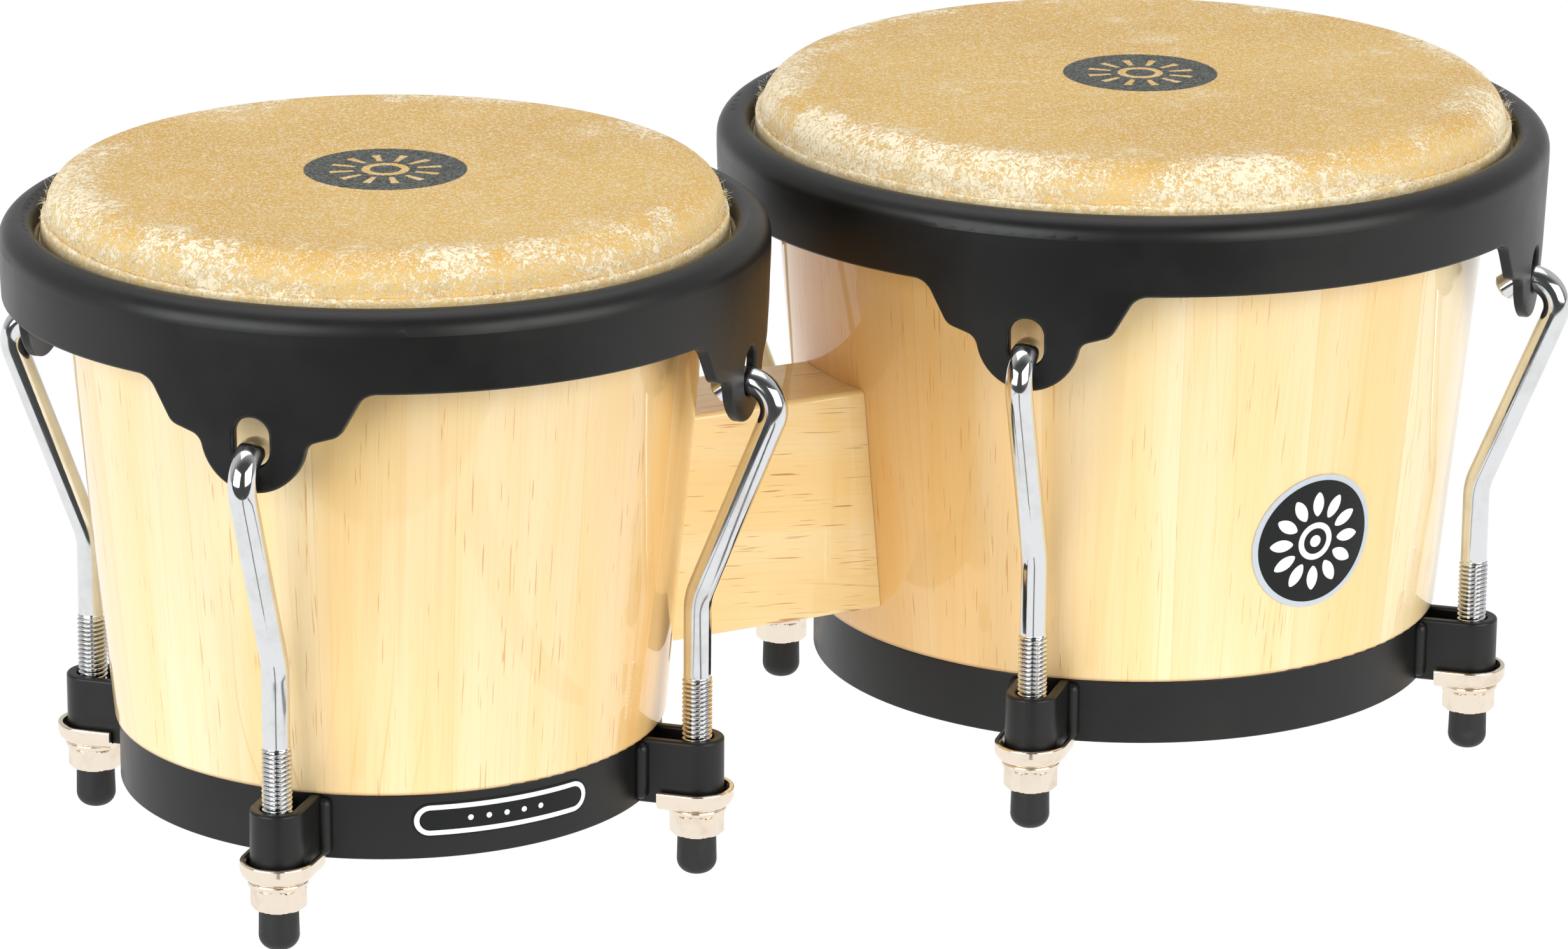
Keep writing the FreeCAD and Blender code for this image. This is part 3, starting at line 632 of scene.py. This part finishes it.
def head_skin(drum):
    """The hide with an uneven raw edge and a slightly rough collar."""
    points, slit, high = skin_profile(drum)
    verts = []
    raw_low = high + SKIN
    for radius, z in points:
        on_edge = slit - 0.05 * MM < radius < slit + RAW_THICK + 0.4 * MM and z > raw_low
        on_collar = radius > drum.shell_r - 3 * MM and z > raw_low and not on_edge
        for j in range(SKIN_COLUMNS):
            turn = math.tau * j / SKIN_COLUMNS
            place = drum.point(turn, radius, z) * 1000
            r, height = radius, z
            if on_edge:
                share = min(1.0, (z - raw_low) / (RAW_TOP - raw_low))
                slow = noise.noise(Vector((math.cos(turn), math.sin(turn), drum.x * 90)) * 2.6)
                quick = noise.noise(place * 0.8) * 0.5 + noise.noise(place * 2.2) * 0.35
                height += share * RAW_UNEVEN * (slow * 1.1 + quick) - share * 0.25 * MM
                r += share * 0.22 * MM * (noise.noise(place * 0.35) + noise.noise(place * 1.7) * 0.5)
            elif on_collar:
                r += 0.07 * MM * noise.noise(place * 0.5) + 0.03 * MM * noise.noise(place * 2.0)
            verts.append(drum.point(turn, r, height))
    faces = grid_faces(len(points), SKIN_COLUMNS, False)
    for start, z in ((0, drum.head_top), ((len(points) - 1) * SKIN_COLUMNS, drum.head_top - SKIN)):
        close_ring(verts, faces, start, SKIN_COLUMNS, Vector((drum.x, 0, z)))
    return make_piece(drum.name + "_hide", verts, faces, HIDE[drum.name])


FIBRE_COUNT = 2600
FIBRE_SIDES = 3
FIBRE_STEPS = 5
FIBRE_ROOT = 0.2 * MM
FIBRE_LENGTHS = (0.8 * MM, 3.0 * MM)
FIBRE_WIDTHS = (0.045 * MM, 0.095 * MM)
FIBRE_CURL = 0.55


def one_fibre(rng, drum, turn, radius, z, outward):
    """Rings of one short curling fibre that starts in the hide and tapers to nothing."""
    at = drum.point(turn, radius, z)
    away = Vector((math.cos(turn), math.sin(turn), 0))
    side = Vector((-math.sin(turn), math.cos(turn), 0))
    heading = away * outward + side * rng.uniform(-1, 1) + Vector((0, 0, rng.uniform(-0.1, 1.0)))
    heading.normalize()
    length = rng.uniform(*FIBRE_LENGTHS)
    thick = rng.uniform(*FIBRE_WIDTHS)
    curl = Vector((rng.uniform(-1, 1), rng.uniform(-1, 1), rng.uniform(-1, 1))) * FIBRE_CURL
    at = at - heading * FIBRE_ROOT
    rings = []
    for step in range(FIBRE_STEPS):
        across = heading.orthogonal().normalized()
        other = heading.cross(across)
        width = thick * (1 - 0.8 * step / (FIBRE_STEPS - 1))
        ring = []
        for k in range(FIBRE_SIDES):
            a = math.tau * k / FIBRE_SIDES
            ring.append(at + (across * math.cos(a) + other * math.sin(a)) * width)
        rings.append(ring)
        at = at + heading * (length / (FIBRE_STEPS - 1))
        heading = (heading + curl).normalized()
    return rings


def fibres(drum, seed):
    """Loose fibres of the hide, along its raw edge and at the foot of its collar."""
    rng = random.Random(seed)
    slit = skin_profile(drum)[1]
    tufts = []
    for i in range(FIBRE_COUNT):
        turn = rng.uniform(0, math.tau)
        if i % 3:
            z = RAW_TOP + rng.uniform(-0.5, 0.1) * MM
            rings = one_fibre(rng, drum, turn, slit + rng.uniform(0.2, 1.4) * MM, z, rng.uniform(-1.2, 0.5))
        else:
            z = RAW_TOP + rng.uniform(0.2, 4.0) * MM
            rings = one_fibre(rng, drum, turn, drum.wood_r(z) + SKIN, z, rng.uniform(0.1, 0.7))
        tufts.append(capped_rings(rings))
    return make_piece(drum.name + "_hide_fibres", *gather(tufts), FIBRE)


for drum, seed in ((MACHO, 5), (HEMBRA, 9)):
    skin = head_skin(drum)
    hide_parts(drum.name + "_head_skin")
    loose = fibres(drum, seed)
    for piece in (skin, loose):
        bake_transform(piece)


# ---- hooks -------------------------------------------------------------------------------
ROD_R = 3.65 * MM
CREST_R = 4.0 * MM
ROOT_R = 3.22 * MM
PITCH = 1.25 * MM
THREAD_TOP = 55.2 * MM
HOOK_END = 3.2 * MM
KNEE_Z = 76.8 * MM
KNEE_R = 18.0 * MM
BEND_R = 7.6 * MM
BEND_Z = 129.8 * MM
BEND_INSET = 2.2 * MM
BEND_END = 127.0
STUB = 4.0 * MM
HOOK_SIDES = 36
ROOT_SHARE = 0.42
CREST_SHARE = 1.25
ROWS_PER_PITCH = 10
RUN_OUT = 0.9 * PITCH
ABOVE_THREAD = 0.6 * MM
TIP_CHAMFER = 0.8 * MM
# rows of points along the shank, the knee, the leg and the bend
SHANK_ROWS = 12
KNEE_ROWS = 12
LEG_ROWS = 16
BEND_ROWS = 28


def hook_path(drum):
    """Centre line above the thread as (radius, height, heading in degrees) stations."""
    knee = Vector((drum.hook_r, KNEE_Z))
    centre = Vector((drum.rim_r - BEND_INSET, BEND_Z))
    span = centre - knee
    lean = math.atan2(span.y, span.x) - math.asin(BEND_R / span.length)
    along = Vector((math.cos(lean), math.sin(lean)))
    reach = KNEE_R * math.tan((math.pi / 2 - lean) / 2)
    turned = knee + along * math.sqrt(span.length_squared - BEND_R ** 2)
    stations = []
    start = KNEE_Z - reach
    low = THREAD_TOP + ABOVE_THREAD
    for i in range(SHANK_ROWS):
        stations.append((drum.hook_r, low + (start - low) * i / SHANK_ROWS, 90.0))
    lean = math.degrees(lean)
    for i in range(KNEE_ROWS + 1):
        heading = 90.0 + (lean - 90.0) * i / KNEE_ROWS
        a = math.radians(heading + 90)
        stations.append((drum.hook_r + KNEE_R + KNEE_R * math.cos(a), start + KNEE_R * math.sin(a), heading))
    first = Vector(stations[-1][:2])
    for i in range(1, LEG_ROWS):
        at = first.lerp(turned, i / LEG_ROWS)
        stations.append((at.x, at.y, lean))
    for i in range(BEND_ROWS + 1):
        a = lean - 90 + (BEND_END - lean + 90) * i / BEND_ROWS
        rad = math.radians(a)
        stations.append((centre.x + BEND_R * math.cos(rad), centre.y + BEND_R * math.sin(rad), a + 90))
    last = Vector(stations[-1][:2])
    end = BEND_END + 90
    ahead = Vector((math.cos(math.radians(end)), math.sin(math.radians(end))))
    for share in (0.25, 0.5, 0.82, 1.0):
        at = last + ahead * STUB * share
        stations.append((at.x, at.y, end))
    return stations


def thread_height(z, turn):
    """Height of the rolled thread, 0 in the root and 1 on the narrow flat of the crest."""
    phase = (z / PITCH - turn / math.tau) % 1.0
    return min(1.0, CREST_SHARE * (1 - abs(2 * phase - 1)))


def thread_radius(z, turn):
    """Radius of the threaded end, with its run-out at the top and its lead-in at the tip."""
    fade = min(1.0, max(0.0, (THREAD_TOP - z) / RUN_OUT))
    start = min(1.0, max(0.25, (z - HOOK_END) / PITCH))
    threaded = ROOT_R + (CREST_R - ROOT_R) * thread_height(z, turn)
    return (ROD_R + (threaded - ROD_R) * fade) * (0.9 + 0.1 * start)


def hook(drum, corner):
    """Tuning hook: rolled thread, knee, leaning leg and round bend with a chamfered end."""
    angle = math.radians(CORNERS[corner])
    away = Vector((math.cos(angle), math.sin(angle), 0))
    side = Vector((-math.sin(angle), math.cos(angle), 0))
    up = Vector((0, 0, 1))
    axis = Vector((drum.x, 0, 0))
    rings = []
    rows = int((THREAD_TOP - HOOK_END) / PITCH * ROWS_PER_PITCH)
    for i in range(rows + 1):
        z = HOOK_END + (THREAD_TOP - HOOK_END) * i / rows
        ring = []
        for j in range(HOOK_SIDES):
            turn = math.tau * j / HOOK_SIDES
            spread = thread_radius(z, turn)
            ring.append(axis + away * (drum.hook_r + spread * math.cos(turn))
                        + side * spread * math.sin(turn) + up * z)
        rings.append(ring)
    stations = hook_path(drum)
    for number, (radius, z, heading) in enumerate(stations):
        thick = ROD_R if number < len(stations) - 1 else ROD_R - TIP_CHAMFER
        normal = math.radians(heading - 90)
        outward = away * math.cos(normal) + up * math.sin(normal)
        ring = []
        for j in range(HOOK_SIDES):
            turn = math.tau * j / HOOK_SIDES
            ring.append(axis + away * radius + up * z + outward * thick * math.cos(turn)
                        + side * thick * math.sin(turn))
        rings.append(ring)
    verts, faces = capped_rings(rings)
    piece = make_piece(f"{drum.name}_{corner}_tuning_hook", verts, faces, CHROME)
    piece.data.materials.append(DARK_THREAD_ROOT)
    # faces down in the thread's roots get the darker plating
    for face in piece.data.polygons:
        offset = face.center - axis - away * drum.hook_r
        turn = math.atan2(offset.dot(side), offset.dot(away)) % math.tau
        if HOOK_END < offset.z < THREAD_TOP - PITCH and thread_height(offset.z, turn) < ROOT_SHARE:
            face.material_index = 1
    sharpen(piece, 40)
    return piece


# ---- nuts --------------------------------------------------------------------------------
NUT_FLATS = 13.0 * MM
NUT_BORE = 4.06 * MM
NUT_SIDES = 144
NUT_CORNER = 0.25 * MM
NUT_LAND = NUT_FLATS / 2 - 0.35 * MM
LAND_EDGE = 0.15 * MM
SINK_DEEP = 0.7 * MM
SINK_WIDE = 0.6 * MM
CONE_SLOPE = 1.73
NUT_ROWS = (-1.0, -0.93, -0.86, -0.78, -0.68, -0.5, 0.0, 0.5, 0.68, 0.78, 0.86, 0.93, 1.0)


def hex_radius(turn, flats):
    """Distance to the side of a hexagon at an angle, its corners a little rounded."""
    sector = (turn + math.pi / 6) % (math.pi / 3) - math.pi / 6
    flat = flats / 2 / math.cos(sector)
    corner = flats / math.sqrt(3) - NUT_CORNER
    return min(flat, corner)


def hex_nut(name, centre, low, high):
    """Chamfered nut: the sides are cut by a cone at either end, and the bore is countersunk."""
    half = (high - low) / 2
    middle = (high + low) / 2
    edge = NUT_LAND - LAND_EDGE
    sink = NUT_BORE + SINK_WIDE
    profile = [(NUT_BORE, low + SINK_DEEP), (sink, low), (edge, low)]
    profile += [(None, middle + share * half) for share in NUT_ROWS]
    profile += [(edge, high), (sink, high), (NUT_BORE, high - SINK_DEEP)]
    verts = []
    for radius, z in profile:
        cone = NUT_LAND + (half - abs(z - middle)) * CONE_SLOPE
        for j in range(NUT_SIDES):
            turn = math.tau * j / NUT_SIDES
            r = radius or min(hex_radius(turn, NUT_FLATS), cone)
            verts.append(centre + Vector((r * math.cos(turn), r * math.sin(turn), z)))
    faces = grid_faces(len(profile), NUT_SIDES, True)
    piece = make_piece(name, verts, faces, NICKEL)
    sharpen(piece, 24)
    return piece


for drum in DRUMS:
    for corner in CORNERS:
        start = f"{drum.name}_{corner}_"
        made = hook(drum, corner)
        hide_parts(start + "hook")
        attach(made, drum.name + "_crown")
        low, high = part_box(start + "nut")
        middle = Vector(((low.x + high.x) / 2, (low.y + high.y) / 2, 0))
        made = hex_nut(start + "hex_nut", middle, low.z, high.z)
        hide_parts(start + "nut")
        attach(made, start + "nut")


# ---- badge and label ---------------------------------------------------------------------
BADGE_R = 19.1 * MM
BADGE_Z = 76.0 * MM
BADGE_ANGLE = math.radians(272.8)
LABEL_ANGLE = math.radians(269.1)
LABEL_HALF = 25.0 * MM
LABEL_LOW = 26.4 * MM
LABEL_HIGH = 35.6 * MM
# how far each layer stands off its surface, under side and upper side
BADGE_BASE = (0.06 * MM, 0.40 * MM)
BADGE_FIELD = (0.38 * MM, 0.50 * MM)
BADGE_MOTIF = (0.48 * MM, 0.60 * MM)
LABEL_BASE = (0.06 * MM, 0.22 * MM)
LABEL_LINES = (0.20 * MM, 0.28 * MM)
BADGE_RIM = 1.6 * MM
ROSETTE_RING = (3.7 * MM, 5.4 * MM)
ROSETTE_DOT_R = 1.7 * MM
PETALS = 12
PETAL = (7.2 * MM, 14.2 * MM, 1.75 * MM)
LINE_INSET = (0.5 * MM, 1.8 * MM)
DOT_R = 0.75 * MM
DOT_PITCH = 5.0 * MM
BAND_STEPS = 2


def on_badge(u, w, lift):
    """Point on the front of the hembra shell, u sideways and w up from the badge's middle."""
    radius = HEMBRA.wood_r(BADGE_Z + w) + lift
    return wrapped(HEMBRA.x, BADGE_ANGLE, radius, u, BADGE_Z + w)


def on_label(u, w, lift):
    """Point on the front of the macho bottom ring, u sideways and w up from the label's middle."""
    return wrapped(MACHO.x, LABEL_ANGLE, MACHO.ring_r + lift, u, (LABEL_LOW + LABEL_HIGH) / 2 + w)


def wrapped(axis_x, angle, radius, u, z):
    """Point u sideways on an upright cylinder, seen square on from an angle."""
    facing = Vector((math.cos(angle), math.sin(angle), 0))
    sideways = Vector((-math.sin(angle), math.cos(angle), 0))
    return Vector((axis_x, 0, z)) + sideways * u + facing * math.sqrt(radius ** 2 - u ** 2)


def circle(radius, count, centre=(0.0, 0.0)):
    return [(centre[0] + radius * math.cos(math.tau * i / count),
             centre[1] + radius * math.sin(math.tau * i / count)) for i in range(count)]


def petal(inner, outer, half_width, angle, count=28):
    """Pointed oval that lies along a spoke."""
    points = []
    for i in range(count):
        t = math.tau * i / count
        along = (inner + outer) / 2 + (outer - inner) / 2 * math.cos(t)
        wide = half_width * math.sin(t) * (0.55 + 0.45 * abs(math.sin(t)))
        points.append((along * math.cos(angle) - wide * math.sin(angle),
                       along * math.sin(angle) + wide * math.cos(angle)))
    return points


def pill(half_length, half_height, count=96):
    """Outline of an oblong with fully round ends."""
    points = []
    straight = half_length - half_height
    per_end = count // 3
    per_side = (count - 2 * per_end) // 2
    for sign in (1, -1):
        for i in range(per_end):
            t = -math.pi / 2 + math.pi * i / per_end
            points.append((sign * (straight + half_height * math.cos(t)), sign * half_height * math.sin(t)))
        for i in range(per_side):
            points.append((sign * (straight - 2 * straight * i / per_side), sign * half_height))
    return points


def two_sides(count, layers, rims):
    """Faces of two equal sheets of rings, one over the other, joined along the numbered rings."""
    top = grid_faces(layers, count, False)
    shift = layers * count
    faces = top + [tuple(k + shift for k in reversed(face)) for face in top]
    for rim in rims:
        for j in range(count):
            a = rim * count + j
            b = rim * count + (j + 1) % count
            faces.append((a, b, b + shift, a + shift))
    return faces


def plate(outline, place, lifts, rings):
    """Vertices and faces of a thin curved plate between its under and upper lift."""
    count = len(outline)
    low, high = lifts
    middle = (sum(p[0] for p in outline) / count, sum(p[1] for p in outline) / count)
    verts = []
    for lift in (high, low):
        for i in range(1, rings + 1):
            for p in outline:
                u, w = (middle[k] + (p[k] - middle[k]) * i / rings for k in range(2))
                verts.append(place(u, w, lift))
    faces = two_sides(count, rings, (rings - 1,))
    for start, lift in ((0, high), (rings * count, low)):
        close_ring(verts, faces, start, count, place(*middle, lift))
    return verts, faces


def band_plate(outer, inner, place, lifts):
    """Closed strip between two outlines of equal count."""
    low, high = lifts
    verts = []
    for lift in (high, low):
        for i in range(BAND_STEPS + 1):
            for p, q in zip(inner, outer):
                u, w = (p[k] + (q[k] - p[k]) * i / BAND_STEPS for k in range(2))
                verts.append(place(u, w, lift))
    return verts, two_sides(len(outer), BAND_STEPS + 1, (0, BAND_STEPS))


def trim_piece(name, parts, material):
    piece = make_piece(name, *gather(parts), material)
    sharpen(piece, 35)
    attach(piece, "shells")
    return piece


def badge():
    """Round plate: silver rim, black field, and a generic twelve-petal rosette."""
    base = trim_piece("badge_plate", [plate(circle(BADGE_R, 160), on_badge, BADGE_BASE, 12)],
                      FILM_SILVER)
    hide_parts("hembra_badge")
    trim_piece("badge_field", [plate(circle(BADGE_R - BADGE_RIM, 160), on_badge, BADGE_FIELD, 12)],
               FILM_BLACK)
    inner, outer = ROSETTE_RING
    motif = [band_plate(circle(outer, 72), circle(inner, 72), on_badge, BADGE_MOTIF),
             plate(circle(ROSETTE_DOT_R, 36), on_badge, BADGE_MOTIF, 2)]
    for i in range(PETALS):
        motif.append(plate(petal(*PETAL, math.tau * i / PETALS), on_badge, BADGE_MOTIF, 3))
    trim_piece("badge_rosette", motif, FILM_WHITE)


def label():
    """Oblong plate with a white outline and a row of dots in place of words."""
    half = (LABEL_HIGH - LABEL_LOW) / 2
    base = trim_piece("label_plate", [plate(pill(LABEL_HALF, half), on_label, LABEL_BASE, 10)],
                      FILM_BLACK)
    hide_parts("macho_ring_label")
    outer, inner = (pill(LABEL_HALF - inset, half - inset) for inset in LINE_INSET)
    lines = [band_plate(outer, inner, on_label, LABEL_LINES)]
    for i in range(-2, 3):
        lines.append(plate(circle(DOT_R, 28, (i * DOT_PITCH, 0.0)), on_label, LABEL_LINES, 2))
    trim_piece("label_lines", lines, FILM_WHITE)


badge()
label()


# ---- floor, light and camera -------------------------------------------------------------
# level direction from the front of the set to its back, and how far the floor runs each way
SET_X = 0.478
SET_Y = 0.878
FLOOR_FRONT = 0.35
FLOOR_FAR = 8.0
FLOOR_THICK = 0.02
# dark cards that lie on the floor in front of two hooks, for a dark line in their chrome
CARD_START = 0.065
CARD_END = 0.28
CARD_SPREAD = 0.08
CARD_THICK = 0.5 * MM
CARD_LEVEL = 0.15
# the studio's glow: which way is behind, where it turns, and its level in front and behind
WORLD_BEHIND = (0.47, 0.85, 0.25)
WORLD_TURN = (-0.35, 0.45)
WORLD_FRONT = 0.07
WORLD_BACK = 0.6
LIGHT_TARGET = Vector((0.0, 0.0, 0.09))
CAMERA_PLACE = Vector((-0.8350, -1.5355, 0.6284))
CAMERA_TARGET = Vector((-0.0022, -0.00012, 0.08543))
CAMERA_ROLL = math.radians(0.424)
CAMERA_LENS = 153.40


def board(name, outline, bottom, top, level):
    """A staged flat board that glows evenly and mirrors nothing."""
    look = Look(name)
    look.set(base_color=(0.02, 0.02, 0.02), roughness=0.9, specular_ior_level=0.0,
             emission_color=(1.0, 1.0, 1.0), emission_strength=level)
    verts, faces = capped_rings([[(x, y, z) for x, y in outline] for z in (bottom, top)])
    piece = make_piece(name, verts, faces, look.material, smooth=False)
    return piece


def ahead_of(spot, front, distance, aside):
    """A point of the floor so far from a spot towards the front, and so far to the right of that line."""
    return spot.x + front.x * distance - front.y * aside, spot.y + front.y * distance + front.x * aside


def floor():
    """A plain pale floor, with its front edge square to the view and nothing lit beyond it."""
    front = Vector((-SET_X, -SET_Y))
    middle = Vector((0.0, 0.0))
    corners = ((FLOOR_FRONT, -1), (FLOOR_FRONT, 1), (-FLOOR_FAR, 1), (-FLOOR_FAR, -1))
    outline = [ahead_of(middle, front, distance, side * FLOOR_FAR) for distance, side in corners]
    board("floor", outline, -FLOOR_THICK, 0.0, 1.0)


def dark_cards():
    """Narrow cards that widen from each drum's front left hook towards the camera, out of its sight."""
    for drum in DRUMS:
        spot = drum.point(math.radians(CORNERS["front_left"]), drum.hook_r, 0.0).to_2d()
        front = (CAMERA_PLACE.to_2d() - spot).normalized()
        corners = ((CARD_START, -1), (CARD_END, -1), (CARD_END, 1), (CARD_START, 1))
        outline = [ahead_of(spot, front, distance, side * CARD_SPREAD * distance)
                   for distance, side in corners]
        card = board(drum.name + "_dark_card", outline, 0.0, CARD_THICK, CARD_LEVEL)
        card.visible_camera = False


def world():
    """A plain white backdrop that lights softly from behind and hardly from in front."""
    made = bpy.data.worlds.new("studio")
    bpy.context.scene.world = made
    made.use_nodes = True
    tree = made.node_tree
    tree.nodes.clear()
    place = tree.nodes.new("ShaderNodeTexCoord")
    behind = tree.nodes.new("ShaderNodeVectorMath")
    behind.operation = "DOT_PRODUCT"
    behind.inputs[1].default_value = WORLD_BEHIND
    tree.links.new(place.outputs["Generated"], behind.inputs[0])
    level = tree.nodes.new("ShaderNodeMapRange")
    level.interpolation_type = "SMOOTHSTEP"
    for name, number in zip(("From Min", "From Max", "To Min", "To Max"),
                            (*WORLD_TURN, WORLD_FRONT, WORLD_BACK)):
        level.inputs[name].default_value = number
    tree.links.new(behind.outputs["Value"], level.inputs["Value"])
    shade = tree.nodes.new("ShaderNodeBackground")
    shade.inputs["Color"].default_value = (1.0, 1.0, 1.0, 1.0)
    seen = tree.nodes.new("ShaderNodeLightPath").outputs["Is Camera Ray"]
    brighter = tree.nodes.new("ShaderNodeMath")
    brighter.operation = "MAXIMUM"
    tree.links.new(level.outputs[0], brighter.inputs[0])
    tree.links.new(seen, brighter.inputs[1])
    tree.links.new(brighter.outputs[0], shade.inputs["Strength"])
    out = tree.nodes.new("ShaderNodeOutputWorld")
    tree.links.new(shade.outputs[0], out.inputs["Surface"])


def soft_light(name, place, size, watts, colour=(1.0, 1.0, 1.0)):
    lamp = bpy.data.lights.new(name, "AREA")
    lamp.shape = "RECTANGLE"
    lamp.size, lamp.size_y = size
    lamp.energy = watts
    lamp.color = colour
    made = bpy.data.objects.new(name, lamp)
    made.location = place
    made.rotation_euler = (LIGHT_TARGET - Vector(place)).to_track_quat("-Z", "Y").to_euler()
    made.visible_camera = False
    bpy.context.scene.collection.objects.link(made)


def lights():
    soft_light("top_box", (0.1, 0.35, 2.1), (2.4, 1.7), 17.0)
    soft_light("left_box", (-2.25, -0.72, 0.80), (2.3, 1.5), 51.0, (0.95, 0.975, 1.0))
    soft_light("right_box", (0.75, -2.25, 0.80), (2.3, 1.5), 45.0, (1.0, 0.985, 0.955))


def camera():
    data = bpy.data.cameras.new("camera")
    data.lens = CAMERA_LENS
    data.sensor_width = 36.0
    data.clip_start = 0.05
    data.clip_end = 60.0
    made = bpy.data.objects.new("camera", data)
    turn = (CAMERA_TARGET - CAMERA_PLACE).to_track_quat("-Z", "Y").to_matrix().to_4x4()
    made.matrix_world = Matrix.Translation(CAMERA_PLACE) @ turn @ Matrix.Rotation(CAMERA_ROLL, 4, "Z")
    bpy.context.scene.collection.objects.link(made)
    bpy.context.scene.camera = made


floor()
dark_cards()
world()
lights()
camera()
bpy.context.scene.view_settings.view_transform = "Standard"
